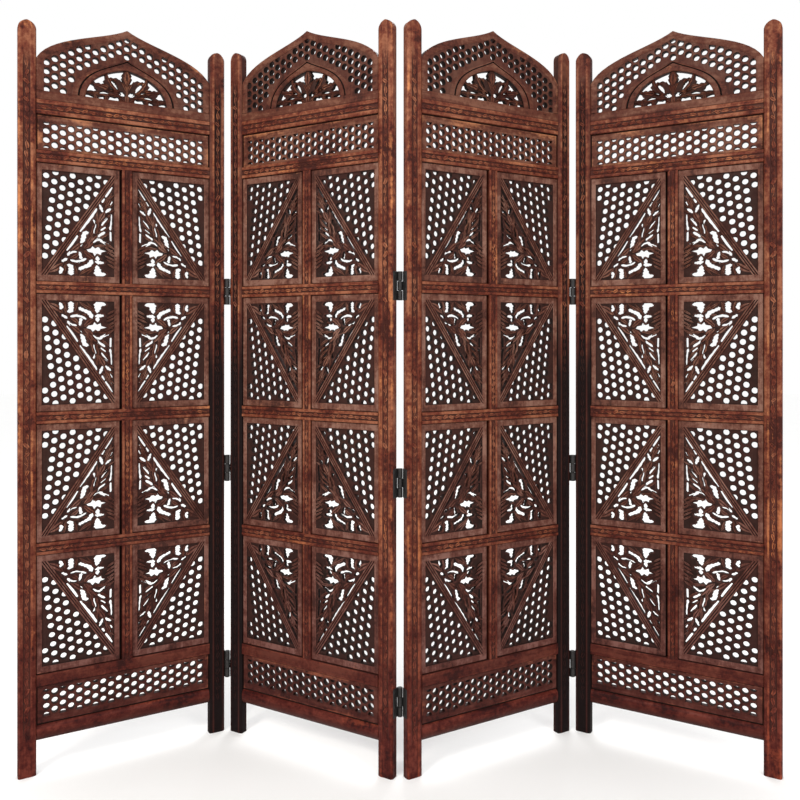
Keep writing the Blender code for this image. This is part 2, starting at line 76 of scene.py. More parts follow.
# %% Heights and widths of the leaf
LEAF_WIDTH = 0.508
STILE_WIDTH = 0.041
STILE_HEIGHT = 1.829
INNER_LEFT = 0.0413
INNER_RIGHT = 0.4667
MUNTIN_LEFT = 0.2415
MUNTIN_RIGHT = 0.2665
BOTTOM_RAIL = (0.081, 0.119)
LOWER_STRIP = (0.1193, 0.213)
TIER_FOOT = 0.213
TIER_PITCH = 0.319
RAIL_HEIGHT = 0.029
RAIL_GAP = 0.0003
SECOND_RAIL = (1.4893, 1.519)
UPPER_STRIP = (1.519, 1.607)
TOP_RAIL = (1.607, 1.642)
ARCH_FOOT = 1.642
HALF_STILE = 0.0125
HALF_RAIL = 0.011
PANEL_FRONT = -0.003
PANEL_BACK = 0.0076
MIDDLE = (INNER_LEFT + INNER_RIGHT) / 2
print("leaf:", LEAF_WIDTH, "m wide,", STILE_HEIGHT, "m high")

# %% [markdown]
# ## Node helpers
# A node tree is a drawing of wires between boxes. One short helper that makes a box, sets
# its choices and wires its inputs keeps the trees below readable. The others are the few
# boxes that every tree here needs.

# %% Making and wiring a node
def add(tree, kind, settings=None, **inputs):
    """A node whose inputs are given by name, each a value or another node's output."""
    made = tree.nodes.new(kind)
    for key, value in (settings or {}).items():
        setattr(made, key, value)
    for key, value in inputs.items():
        name = int(key[1:]) if key[0] == "i" and key[1:].isdigit() else key.replace("_", " ")
        if isinstance(value, bpy.types.NodeSocket):
            tree.links.new(value, made.inputs[name])
        else:
            made.inputs[name].default_value = value
    return made


def out(tree, kind, settings=None, **inputs):
    """The first output of a new node."""
    return add(tree, kind, settings, **inputs).outputs[0]


def math_node(tree, operation, first, second=0.0, third=0.0, clamp=False):
    return out(tree, "ShaderNodeMath", {"operation": operation, "use_clamp": clamp},
               i0=first, i1=second, i2=third)


def plus(tree, first, second, clamp=False):
    return math_node(tree, "ADD", first, second, clamp=clamp)


def minus(tree, first, second):
    return math_node(tree, "SUBTRACT", first, second)


def times(tree, first, second, clamp=False):
    return math_node(tree, "MULTIPLY", first, second, clamp=clamp)


def times_plus(tree, value, factor, extra):
    return math_node(tree, "MULTIPLY_ADD", value, factor, extra)


def remap(tree, value, low, high, to_low, to_high):
    return out(tree, "ShaderNodeMapRange", Value=value, From_Min=low, From_Max=high,
               To_Min=to_low, To_Max=to_high)


def vector(tree, **parts):
    """A vector from X, Y and Z, each nothing if it is not given."""
    return out(tree, "ShaderNodeCombineXYZ", **parts)


# %% Colours and materials
def rgb(red, green, blue):
    return (red, green, blue, 1.0)


def noise(tree, place, scale, detail, roughness=0.5, distortion=0.0):
    return add(tree, "ShaderNodeTexNoise", Vector=place, Scale=scale, Detail=detail,
               Roughness=roughness, Distortion=distortion).outputs["Fac"]


def blend_colours(tree, share, first, second, way="MIX"):
    made = add(tree, "ShaderNodeMix", {"data_type": "RGBA", "blend_type": way},
               i0=share, i6=first, i7=second)
    return made.outputs[2]


def colour_stops(tree, factor, stops):
    ramp = add(tree, "ShaderNodeValToRGB", i0=factor)
    marks = ramp.color_ramp.elements
    marks[0].position, marks[0].color = stops[0]
    marks[1].position, marks[1].color = stops[-1]
    for position, colour in stops[1:-1]:
        mark = marks.new(position)
        mark.color = colour
    return ramp.outputs[0]


def new_material(name):
    """A new material, its node tree, its shader, and places in the scene's own axes."""
    material = bpy.data.materials.new(name)
    material.use_nodes = True
    tree = material.node_tree
    place = add(tree, "ShaderNodeTexCoord").outputs["Object"]
    return material, tree, tree.nodes["Principled BSDF"], place


def shade_of(tree):
    """How far each point lies between the bottom of a cut and a rubbed edge; the same value also holds
    painted light and shade.
    """
    return add(tree, "ShaderNodeAttribute", {"attribute_name": "shade"}).outputs["Fac"]


# %% [markdown]
# ## Camera, floor and light
# The reference view is level, a little above half the screen's height, and straight on.
# A photographer would keep the camera level so that the stiles stay upright, and would
# lower the picture inside the frame with a small shift instead of a tilt.

# %% The camera
CAMERA_DISTANCE = 1.95
NEAR_EDGES = -0.134
CAMERA_HEIGHT = 1.053
LENS = 36.56
HORIZON_SHIFT = -0.0735

camera_data = bpy.data.cameras.new("camera")
camera = bpy.data.objects.new("camera", camera_data)
bpy.context.scene.collection.objects.link(camera)
camera.location = (0.0, NEAR_EDGES - CAMERA_DISTANCE, CAMERA_HEIGHT)
camera.rotation_euler = (math.radians(90), 0.0, 0.0)
camera_data.sensor_width = 36.0
camera_data.lens = LENS
camera_data.shift_y = HORIZON_SHIFT
bpy.context.scene.camera = camera
bpy.context.scene.view_settings.view_transform = "Standard"
print("camera at", tuple(round(v, 3) for v in camera.location))

# %% [markdown]
# A pale floor that curves up into a pale wall is what a studio calls a sweep. Here the
# floor alone is a wide plane, and the world behind it is nearly the same pale tone, so
# the pierced holes read as light.

# %% The floor
FLOOR_REACH = 14.0


def floor_paint(colour, roughness, mottle):
    """A nearly even finish: `mottle` is how much darker its darkest patches are."""
    material, tree, shader, place = new_material("floor paint")
    darker = rgb(*((1 - mottle) * c for c in colour[:3]))
    tone = blend_colours(tree, noise(tree, place, 3.0, 2.0), colour, darker)
    tree.links.new(tone, shader.inputs["Base Color"])
    shader.inputs["Roughness"].default_value = roughness
    return material


floor_mesh = bpy.data.meshes.new("floor")
floor_mesh.from_pydata([(-FLOOR_REACH, -FLOOR_REACH, 0), (FLOOR_REACH, -FLOOR_REACH, 0),
                        (FLOOR_REACH, FLOOR_REACH, 0), (-FLOOR_REACH, FLOOR_REACH, 0)],
                       [], [(0, 1, 2, 3)])
floor_mesh.materials.append(floor_paint(rgb(0.99, 0.99, 0.985), 0.9, 0.015))
floor = bpy.data.objects.new("floor", floor_mesh)
bpy.context.scene.collection.objects.link(floor)
floor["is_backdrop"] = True

# %% The lights
world = bpy.data.worlds.new("studio")
bpy.context.scene.world = world
world.use_nodes = True
world.node_tree.nodes["Background"].inputs["Color"].default_value = (1.0, 1.0, 1.0, 1.0)
world.node_tree.nodes["Background"].inputs["Strength"].default_value = 1.0


def soft_light(name, place, aim, size, power, colour=(1.0, 1.0, 1.0)):
    """One square soft box, turned to face a point."""
    data = bpy.data.lights.new(name, "AREA")
    data.shape = "SQUARE"
    data.size = size
    data.energy = power
    data.color = colour
    light = bpy.data.objects.new(name, data)
    light.location = place
    turn = (Vector(aim) - Vector(place)).to_track_quat("-Z", "Y")
    light.rotation_euler = turn.to_euler()
    bpy.context.scene.collection.objects.link(light)


soft_light("key", (-2.1, -3.0, 3.1), (0.0, 0.0, 1.0), 1.0, 80.0, (1.0, 0.95, 0.88))
soft_light("fill", (2.6, -3.2, 2.6), (0.0, 0.0, 1.0), 1.2, 45.0)
soft_light("rim", (0.5, 3.0, 3.2), (0.0, 0.0, 1.2), 1.6, 45.0)
print("lights:", len(bpy.data.lights))

# %% [markdown]
# ## Stained wood
# The screen is a plain hardwood under a red-brown stain. Fibres run along each piece, the
# stain gathers dark in every cut, and hands and cloths have rubbed the high edges back to
# a warm tan. Two attributes on each mesh steer this: "grain" holds a place whose X lies
# along the fibres, so that the figure follows each turned leaf, and "shade" says where a
# point lies between the bottom of a cut (minus one) and a rubbed edge (plus one). Shade
# also carries painted light: painted shadow down the holes, at the edges of sunk boards,
# in the gap beside each muntin and on the stiles in the back folds, and painted highlights
# on the forward stiles and along the top of the foot rail.

# %% The wood material
# How much each noise has to say in the stain.
FIGURE, FIBRES, KNOCKS, STAIN = 0.7, 0.3, 0.9, 1.2


def wood(name, deep, red, middle, light, tan, pooled_stain_and_shade, grime_and_shadow, wear, foot_darkening):
    """Stained wood: four stain tones, the rubbed tone that also serves for painted highlights, the stain
    that pools beside a cut along with painted shade, the near-black of grime and painted shadow deep in
    it, how far the wood is worn, and how much darker the wood is made towards the foot of the screen."""
    material, tree, shader, place = new_material(name)
    grain = add(tree, "ShaderNodeAttribute", {"attribute_name": "grain"}).outputs["Vector"]
    shade = shade_of(tree)

    def noise_along(scale, detail, roughness=0.5, distortion=0.0):
        stretched = out(tree, "ShaderNodeMapping", Vector=grain, Scale=scale)
        return noise(tree, stretched, 1.0, detail, roughness, distortion)

    fibres = noise_along((9.0, 260.0, 260.0), 5.0, 0.62)
    figure = noise_along((5.0, 46.0, 46.0), 5.0, 0.6, 0.7)
    pores = noise_along((90.0, 900.0, 900.0), 2.0)
    rubs = noise_along((7.0, 22.0, 22.0), 4.0, 0.6)
    stain = noise(tree, place, 11.0, 6.0, 0.65)
    knocks = noise(tree, place, 85.0, 6.0, 0.7)

    tone = times_plus(tree, figure, FIGURE, 0.5 - (FIGURE + FIBRES + KNOCKS + STAIN) / 2)
    tone = times_plus(tree, fibres, FIBRES, tone)
    tone = times_plus(tree, knocks, KNOCKS, tone)
    tone = times_plus(tree, stain, STAIN, tone)
    body = colour_stops(tree, tone, [(0.29, deep), (0.42, red), (0.53, middle), (0.70, light)])

    # Rubbed towards the tan where the shade runs high: worn edges, and painted highlights where the shade
    # was raised for light.
    rubbed = plus(tree, shade, times_plus(tree, knocks, 1.3, -0.65))
    rubbed = plus(tree, rubbed, times_plus(tree, rubs, 3.4, -1.7))
    rubbed = times(tree, minus(tree, rubbed, 0.62 - wear), 1.5, clamp=True)
    body = blend_colours(tree, times(tree, rubbed, 0.8), body, tan)

    # The wood is made darker from 0.85 m down towards the foot of the screen.
    height = add(tree, "ShaderNodeSeparateXYZ", Vector=place).outputs["Z"]
    low = remap(tree, height, 0.12, 0.85, 0.95, 0.0)
    body = blend_colours(tree, low, body, foot_darkening, "MULTIPLY")

    # Darkened where the shade runs low: stain and grime in real cuts, and painted shade down the holes,
    # at sunk edges, beside the muntins and on stiles in the back folds.
    cut = times(tree, shade, -1.0)
    cut = plus(tree, cut, times_plus(tree, stain, 0.8, -0.40))
    beside = remap(tree, cut, 0.05, 0.5, 0.0, 0.85)
    cut = remap(tree, cut, 0.45, 0.95, 0.0, 0.97)
    body = blend_colours(tree, beside, body, pooled_stain_and_shade)
    body = blend_colours(tree, cut, body, grime_and_shadow)
    tree.links.new(body, shader.inputs["Base Color"])

    rough = remap(tree, tone, 0.2, 0.8, 0.62, 0.4)
    rough = plus(tree, rough, times(tree, cut, 0.25), clamp=True)
    tree.links.new(rough, shader.inputs["Roughness"])
    shader.inputs["Specular IOR Level"].default_value = 0.12

    relief = plus(tree, times(tree, fibres, 0.6), times(tree, pores, 0.4))
    bump = out(tree, "ShaderNodeBump", Height=relief, Strength=0.5, Distance=0.0007)
    dents = out(tree, "ShaderNodeBump", Height=knocks, Strength=0.35, Distance=0.0012, Normal=bump)
    tree.links.new(dents, shader.inputs["Normal"])
    return material


frame_wood = wood("frame wood", rgb(0.040, 0.008, 0.005), rgb(0.112, 0.022, 0.011),
                  rgb(0.152, 0.042, 0.020), rgb(0.260, 0.092, 0.046), rgb(0.560, 0.210, 0.075),
                  rgb(0.040, 0.009, 0.006), rgb(0.005, 0.002, 0.002), 0.12, rgb(0.44, 0.20, 0.25))
tile_wood = wood("tile wood", rgb(0.046, 0.016, 0.011), rgb(0.100, 0.034, 0.022),
                 rgb(0.128, 0.052, 0.035), rgb(0.205, 0.102, 0.073), rgb(0.420, 0.170, 0.085),
                 rgb(0.044, 0.013, 0.010), rgb(0.005, 0.003, 0.002), 0.0, rgb(0.74, 0.60, 0.72))
arch_wood = wood("arch wood", rgb(0.038, 0.010, 0.006), rgb(0.082, 0.021, 0.012),
                 rgb(0.093, 0.029, 0.016), rgb(0.152, 0.060, 0.036), rgb(0.470, 0.185, 0.082),
                 rgb(0.036, 0.010, 0.007), rgb(0.005, 0.003, 0.002), 0.05, rgb(0.58, 0.38, 0.46))
print("wood finishes:", frame_wood.name, tile_wood.name, arch_wood.name)

# %% [markdown]
# ## Black iron
# The hinges are cast and blackened. A hammered bump, a slightly rusty mottle and a brighter
# rubbed edge keep them from reading as a flat black hole.

# %% The iron material
def iron(name):
    material, tree, shader, place = new_material(name)
    skin = noise(tree, place, 240.0, 5.0)
    rust = noise(tree, place, 60.0, 6.0, 0.7)
    body = colour_stops(tree, rust, [(0.4, rgb(0.004, 0.004, 0.005)), (0.62, rgb(0.009, 0.008, 0.007)),
                                     (0.8, rgb(0.022, 0.012, 0.008))])
    bright = times(tree, shade_of(tree), skin, clamp=True)
    body = blend_colours(tree, bright, body, rgb(0.045, 0.040, 0.038))
    tree.links.new(body, shader.inputs["Base Color"])
    tree.links.new(remap(tree, rust, 0.0, 1.0, 0.38, 0.72), shader.inputs["Roughness"])
    shader.inputs["Metallic"].default_value = 0.3
    bump = out(tree, "ShaderNodeBump", Height=skin, Strength=0.4, Distance=0.0006)
    tree.links.new(bump, shader.inputs["Normal"])
    return material


black_iron = iron("black iron")

# %% [markdown]
# ## A carving on the bench
# Every drawing below is collected in a Carving: points, faces, and for each point its shade
# and its place along the grain. When it is done it becomes one mesh.

# %% The Carving
class Carving:
    """A growing mesh in the leaf's own frame."""

    def __init__(self):
        self.points = []
        self.faces = []
        self.shades = []
        self.grains = []

    def put(self, points, faces, shades, along="z"):
        """Add points and faces; `along` names the axis that the fibres follow."""
        start = len(self.points)
        self.points += [tuple(p) for p in points]
        self.faces += [tuple(start + k for k in face) for face in faces]
        self.shades += list(shades)
        for x, y, z in points:
            self.grains.append((z, x, y) if along == "z" else (x, z, y))

    def mesh(self, name, material):
        made = bpy.data.meshes.new(name)
        made.from_pydata(self.points, [], self.faces)
        made.materials.append(material)
        shade = made.attributes.new("shade", "FLOAT", "POINT")
        shade.data.foreach_set("value", np.array(self.shades, np.float32))
        grain = made.attributes.new("grain", "FLOAT_VECTOR", "POINT")
        grain.data.foreach_set("vector", np.array(self.grains, np.float32).ravel())
        work = bmesh.new()
        work.from_mesh(made)
        bmesh.ops.recalc_face_normals(work, faces=work.faces)
        work.to_mesh(made)
        work.free()
        return made


def triangles_in(mesh):
    return sum(len(face.vertices) - 2 for face in mesh.polygons)


# %% [markdown]
# ## Mouldings
# Rails, stiles, borders and bars are all one idea: a section carried between two edge
# lines. Giving the section as shares of the width lets the same section fit a straight
# rail, a mitred border, a tapering arch rim or a rounded stile top.

# %% A section carried between two lines
def ring_faces(rings, count, closed=False):
    """Faces between `rings` rings of `count` points each, with capped ends or closed on itself."""
    faces = []
    for r in range(rings if closed else rings - 1):
        here, there = r * count, (r + 1) % rings * count
        for k in range(count):
            turn = (k + 1) % count
            faces.append((here + k, here + turn, there + turn, there + k))
    if not closed:
        faces.append(tuple(range(count)))
        faces.append(tuple(range((rings - 1) * count, rings * count)))
    return faces


def moulding(carving, edge_a, edge_b, section, closed=False, along="z"):
    """Points of `section` are (share from a to b, depth in mm, shade), once round the section.
    `section` is one such list, or a list of them with one for each point of the edges."""
    sections = section if isinstance(section[0], list) else [section] * len(edge_a)
    points, shades = [], []
    for a, b, row in zip(edge_a, edge_b, sections):
        for share, depth, shade in row:
            points.append((a[0] + (b[0] - a[0]) * share, depth * MM, a[1] + (b[1] - a[1]) * share))
            shades.append(shade)
    carving.put(points, ring_faces(len(edge_a), len(sections[0]), closed), shades, along)


def mirrored(half, middle=()):
    """A section that is the same on both sides: `half` runs from the back at a to the middle."""
    return half + list(middle) + [(1 - share, depth, shade) for share, depth, shade in reversed(half)]


def in_metres(line):
    return [(x * MM, z * MM) for x, z in line]


def grow(line, distance):
    """A line moved sideways by a distance, to its left, with its corners mitred."""
    grown = []
    for k, point in enumerate(line):
        here = Vector(point)
        before = Vector(line[max(k - 1, 0)])
        after = Vector(line[min(k + 1, len(line) - 1)])
        ways = [w.normalized() for w in (here - before, after - here) if w.length > 1e-9]
        sides = [Vector((-w.y, w.x)) for w in ways]
        middle = (sides[0] + sides[-1]).normalized()
        grown.append(tuple(here + middle * distance / max(0.35, middle.dot(sides[0]))))
    return grown


# %% [markdown]
# ## Pierced lattice
# The lattice is a honeycomb of drilled holes. Drawing each hole by hand would be slow and
# uneven, and cutting each with a Boolean would be slower still. A geometry-nodes tree lays
# out the honeycomb, throws away every hole that would not fit on the board, fills the board
# around the rest and lines each hole with a bevel and a wall.

# %% Inputs of a node tree
def new_tree(name, inputs):
    """A geometry-nodes tree with named inputs; gives the tree, its inputs by name, and its end."""
    tree = bpy.data.node_groups.new(name, "GeometryNodeTree")
    kinds = {"number": "NodeSocketFloat", "count": "NodeSocketInt", "place": "NodeSocketVector",
             "shape": "NodeSocketGeometry", "finish": "NodeSocketMaterial", "object": "NodeSocketObject"}
    for label, kind in inputs:
        tree.interface.new_socket(name=label, in_out="INPUT", socket_type=kinds[kind])
    tree.interface.new_socket(name="Result", in_out="OUTPUT", socket_type="NodeSocketGeometry")
    given = tree.nodes.new("NodeGroupInput")
    return tree, {socket.name: socket for socket in given.outputs}, tree.nodes.new("NodeGroupOutput")


def moved(tree, geometry, **where):
    """A geometry with its points put at a Position or shifted by an Offset."""
    return out(tree, "GeometryNodeSetPosition", Geometry=geometry, **where)


def joined(tree, *parts):
    """Several geometries as one."""
    made = add(tree, "GeometryNodeJoinGeometry")
    for part in parts:
        tree.links.new(part, made.inputs[0])
    return made.outputs[0]


def finish_tree(tree, geometry, wish, end):
    """Every copy made real, the material set, and the result sent out of the tree."""
    whole = out(tree, "GeometryNodeRealizeInstances", Geometry=geometry)
    done = out(tree, "GeometryNodeSetMaterial", Geometry=whole, Material=wish["Finish"])
    tree.links.new(done, end.inputs[0])
    return tree


def run_tree(tree, start_mesh, values):
    """Run a tree on a mesh and give its result as a plain mesh; values are by input name."""
    holder = bpy.data.objects.new("bench", start_mesh)
    bpy.context.scene.collection.objects.link(holder)
    modifier = holder.modifiers.new("tree", "NODES")
    modifier.node_group = tree
    for item in tree.interface.items_tree:
        if item.in_out == "INPUT" and item.name in values:
            modifier[item.identifier] = values[item.name]
    graph = bpy.context.evaluated_depsgraph_get()
    result = bpy.data.meshes.new_from_object(holder.evaluated_get(graph))
    holder.modifiers.clear()
    bpy.data.objects.remove(holder)
    return result


# %% The lattice tree
LATTICE_INPUTS = [("Board", "shape"), ("Pitch", "number"), ("Turn", "number"), ("Anchor", "place"),
                  ("Hole Radius", "number"), ("Bevel", "number"), ("Edge Room", "number"),
                  ("Front", "number"), ("Back", "number"), ("Low Corner", "place"),
                  ("High Corner", "place"), ("Sides", "count"), ("Face Shade", "number"),
                  ("Finish", "finish")]
COLUMNS = 27
HEX_SLANT = math.sqrt(3) / 2
WELD = 0.00001
# How many times its depth a hole's bevel spreads.
COUNTERSINK = 1.6
# Shades at the top of a hole's wall, near-black as painted shade for the shadow down each hole, and at
# the back of the board.
HOLE_WALL_PAINTED_SHADE = -0.95
BACK_SHADE = -0.42


def lattice_tree():
    tree, wish, end = new_tree("pierced lattice", LATTICE_INPUTS)
    neighbours = out(tree, "GeometryNodeInputMeshEdgeNeighbors")
    outside = out(tree, "FunctionNodeCompare", {"data_type": "INT", "operation": "EQUAL"},
                  i2=neighbours, i3=1)
    rim = out(tree, "GeometryNodeMeshToCurve", Mesh=wish["Board"], Selection=outside)
    wire = out(tree, "GeometryNodeCurveToMesh", Curve=rim)

    grid = out(tree, "GeometryNodeMeshGrid", Size_X=COLUMNS - 1.0, Size_Y=COLUMNS - 1.0,
               Vertices_X=COLUMNS, Vertices_Y=COLUMNS)
    position = out(tree, "GeometryNodeInputPosition")
    cell = add(tree, "ShaderNodeSeparateXYZ", Vector=position)
    across = times(tree, cell.outputs[0], HEX_SLANT)
    climb = plus(tree, cell.outputs[1], times(tree, cell.outputs[0], 0.5))
    scaled = out(tree, "ShaderNodeVectorMath", {"operation": "SCALE"},
                 i0=vector(tree, X=across, Y=climb), Scale=wish["Pitch"])
    turned = out(tree, "ShaderNodeVectorRotate", {"rotation_type": "Z_AXIS"}, Vector=scaled,
                 Angle=wish["Turn"])
    centre = out(tree, "ShaderNodeVectorMath", {"operation": "ADD"}, i0=turned, i1=wish["Anchor"])
    spots = moved(tree, grid, Position=centre)

    above = out(tree, "ShaderNodeVectorMath", {"operation": "ADD"}, i0=position, i1=(0.0, 0.0, 1.0))
    on_board = out(tree, "GeometryNodeRaycast", Target_Geometry=wish["Board"], Source_Position=above,
                   Ray_Direction=(0.0, 0.0, -1.0), Ray_Length=2.0)
    near = add(tree, "GeometryNodeProximity", {"target_element": "EDGES"}, i0=wire)
    room = out(tree, "FunctionNodeCompare", {"data_type": "FLOAT", "operation": "GREATER_THAN"},
               i0=near.outputs["Distance"], i1=wish["Edge Room"])
    fits = out(tree, "FunctionNodeBooleanMath", {"operation": "AND"}, i0=on_board, i1=room)
    spots = out(tree, "GeometryNodeSeparateGeometry", Geometry=spots, Selection=fits)
    mouth_radius = times_plus(tree, wish["Bevel"], COUNTERSINK, wish["Hole Radius"])

    def held_inside(geometry):
        """A hole at the edge is squared off inside the board, under the border that covers it."""
        lowest = out(tree, "ShaderNodeVectorMath", {"operation": "MAXIMUM"}, i0=position,
                     i1=wish["Low Corner"])
        highest = out(tree, "ShaderNodeVectorMath", {"operation": "MINIMUM"}, i0=lowest,
                      i1=wish["High Corner"])
        return moved(tree, geometry, Position=highest)

    def laid_out(shape):
        dots = out(tree, "GeometryNodeInstanceOnPoints", Points=spots, Instance=shape)
        return held_inside(out(tree, "GeometryNodeRealizeInstances", Geometry=dots))

    def filled(radius, depth):
        hole = out(tree, "GeometryNodeCurvePrimitiveCircle", Resolution=wish["Sides"], Radius=radius)
        face = out(tree, "GeometryNodeFillCurve", Curve=joined(tree, laid_out(hole), rim))
        return moved(tree, face, Offset=vector(tree, Z=depth))

    front = filled(mouth_radius, wish["Front"])
    back = filled(wish["Hole Radius"], wish["Back"])

    wall_top = plus(tree, wish["Front"], wish["Bevel"])
    wall_run = minus(tree, wish["Back"], wall_top)
    bevel = out(tree, "GeometryNodeMeshCone", {"fill_type": "NONE"}, Vertices=wish["Sides"],
                Radius_Top=wish["Hole Radius"], Radius_Bottom=mouth_radius, Depth=wish["Bevel"])
    to_front = vector(tree, Z=wish["Front"])
    bevel = moved(tree, bevel, Offset=to_front)
    wall = out(tree, "GeometryNodeMeshCylinder", {"fill_type": "NONE"}, Vertices=wish["Sides"],
               Radius=wish["Hole Radius"], Depth=wall_run)
    wall_middle = plus(tree, wall_top, times(tree, wall_run, 0.5))
    wall = moved(tree, wall, Offset=vector(tree, Z=wall_middle))
    lining = joined(tree, bevel, wall)

    run = vector(tree, Z=minus(tree, wish["Back"], wish["Front"]))
    edge = out(tree, "GeometryNodeExtrudeMesh", {"mode": "EDGES"}, Mesh=wire, Offset=run)
    edge = moved(tree, edge, Offset=to_front)

    everything = joined(tree, front, back, laid_out(lining), edge)
    welded = out(tree, "GeometryNodeMergeByDistance", Geometry=everything, Distance=WELD)
    height = add(tree, "ShaderNodeSeparateXYZ", Vector=position).outputs[2]
    # From the face down the bevel the shade falls to near-black at the wall: painted shade in each hole.
    before = remap(tree, height, wish["Front"], wall_top, wish["Face Shade"], HOLE_WALL_PAINTED_SHADE)
    behind = remap(tree, height, wall_top, wish["Back"], HOLE_WALL_PAINTED_SHADE, BACK_SHADE)
    shade = math_node(tree, "MAXIMUM", before, behind)
    shaded = out(tree, "GeometryNodeStoreNamedAttribute", {"data_type": "FLOAT", "domain": "POINT"},
                 Geometry=welded, Name="shade", Value=shade)
    return finish_tree(tree, shaded, wish, end)


LATTICE = lattice_tree()
print("lattice tree nodes:", len(LATTICE.nodes))

# %% Flat boards to pierce
def anticlockwise(loop):
    """The same closed line, going round to the left, which is how Blender tells inside from outside."""
    area = sum(a[0] * b[1] - b[0] * a[1] for a, b in zip(loop, list(loop[1:]) + [loop[0]]))
    return list(loop) if area > 0 else list(loop)[::-1]


def triangulated(loops, loose=(), slack=1e-7):
    """Triangles that keep to closed loops: the points, and each face with the loops it lies in."""
    corners, faces = [], []
    for loop in loops:
        first = len(corners)
        corners += [Vector(p) for p in anticlockwise(loop)]
        faces.append(list(range(first, first + len(loop))))
    points, _, made, _, _, owners = delaunay_2d_cdt(corners + list(loose), [], faces, 0, slack)
    return points, [(face, set(owner)) for face, owner in zip(made, owners)]


def flat_board(name, loops, inside):
    """A flat mesh of the faces for which `inside` agrees; it is asked with the loops they lie in."""
    points, faces = triangulated(loops)
    mesh = bpy.data.meshes.new(name)
    mesh.from_pydata([(p.x, p.y, 0.0) for p in points], [], [face for face, own in faces if inside(own)])
    work = bmesh.new()
    work.from_mesh(mesh)
    bmesh.ops.delete(work, geom=[v for v in work.verts if not v.link_faces], context="VERTS")
    work.to_mesh(mesh)
    work.free()
    return mesh


def pierced(carving, board, finish, pitch, turn, anchor, radius, bevel, room, low, high,
            front=PANEL_FRONT, sides=14, face_shade=-0.2):
    """Run the lattice tree on a flat board and add the result to a carving."""
    result = run_tree(LATTICE, board, {
        "Pitch": pitch, "Turn": turn, "Anchor": (anchor[0], anchor[1], 0.0), "Hole Radius": radius,
        "Bevel": bevel, "Edge Room": room, "Front": front, "Back": PANEL_BACK,
        "Low Corner": (low[0], low[1], -1.0), "High Corner": (high[0], high[1], 1.0),
        "Sides": sides, "Face Shade": face_shade, "Finish": finish})
    points = [(v.co.x, v.co.z, v.co.y) for v in result.vertices]
    shades = [item.value for item in result.attributes["shade"].data]
    carving.put(points, [tuple(face.vertices) for face in result.polygons], shades)
    print("pierced", board.name, "faces:", len(result.polygons))
    bpy.data.meshes.remove(result)


# %% [markdown]
# ## Carved leaves
# A carver lets each leaf stand a little proud, hollows it on both sides of its vein and
# cuts a dark line round it. One function makes such a leaf between its root and its tip:
# narrow rows across it, each with a rim, a shoulder and a sunk vein.

# %% How far a leaf may spread
def lies_in(loop, spot):
    """Whether a point is inside a closed outline, by counting the sides that a ray crosses."""
    inside = False
    for a, b in zip(loop, loop[1:] + loop[:1]):
        if (a[1] > spot.y) != (b[1] > spot.y):
            if spot.x < a[0] + (b[0] - a[0]) * (spot.y - a[1]) / (b[1] - a[1]):
                inside = not inside
    return inside


# A leaf's side is tried in so many steps, and keeps at least this share of its width.
TRIES = 7
NARROWEST = 0.2


def room_beside(spine, side, half, gaps):
    """How far a leaf reaches to one side of its vein before it would cover a gap in the board."""
    for k in range(1, TRIES + 1):
        spot = spine + side * (half * k / TRIES)
        if any(lies_in(loop, spot) for loop in gaps):
            return half * max(NARROWEST, (k - 0.7) / TRIES)
    return half


# %% One carved leaf
# Where a leaf is widest, how far its teeth stand out, and the points of its hollows: place
# across it, share of its crest, shade.
BELLY = 0.42
TOOTH = 0.16
LEAF_HOLLOWS = [(-0.8, 0.7, -0.2), (-0.52, 1.0, 0.4), (-0.2, 0.7, -0.3), (0.0, 0.1, -1.0),
                (0.2, 0.7, -0.3), (0.52, 1.0, 0.4), (0.8, 0.7, -0.2)]


def carved_leaf(carving, root, tip, width, front, back, crest=1.6, bend=0.0, teeth=0, rows=8, gaps=()):
    """A leaf in mm from root to tip, its rim at depth `front`, standing `crest` proud of it."""
    root, tip = Vector(root), Vector(tip)
    run = tip - root
    side = Vector((-run.y, run.x)).normalized()
    centre, reach = (root + tip) / 2, run.length / 2 + width
    close = [loop for loop in gaps if (Vector(loop[0]) - centre).length < reach + 25.0]
    points, shades = [], []
    for r in range(rows + 1):
        t = r / rows
        swell = math.sin(math.pi * min(1.0, t ** (math.log(0.5) / math.log(BELLY)))) ** 0.8
        half = width / 2 * max(0.05, swell)
        if teeth and 0 < r < rows:
            half *= 1 + TOOTH if r % 2 else 1 - TOOTH
        spine = root + run * t + side * (bend * math.sin(math.pi * t))
        lift = crest * (0.25 + 0.75 * math.sin(math.pi * min(1.0, 0.15 + 0.8 * t)))
        left = room_beside(spine, -side, half, close)
        right = room_beside(spine, side, half, close)
        section = [(-1.0, back, -0.95), (-1.0, front, -1.0)]
        section += [(share, front - lift * part, shade) for share, part, shade in LEAF_HOLLOWS]
        section += [(1.0, front, -1.0), (1.0, back, -0.95)]
        for share, depth, shade in section:
            spot = spine + side * ((left if share < 0 else right) * share)
            points.append((spot.x * MM, depth * MM, spot.y * MM))
            shades.append(shade)
    carving.put(points, ring_faces(rows + 1, len(section)), shades)


# %% [markdown]
# ## Openings between the leaves
# Behind the leaves lies a board with gaps sawn through it. Each gap is a small closed line:
# a slit, a lens, or a wavy one that follows bent points with a width at each. The board is
# cut with a constrained triangulation, which copes with gaps that meet or reach the edge.

# %% Shapes of gaps
# A gap that is this wide, in mm, has scalloped sides; both ends bulge by a share of the width.
WIDE_GAP = 7
SCALLOP = 0.14
ROUND_END = 0.45
STEPS_BETWEEN = 3


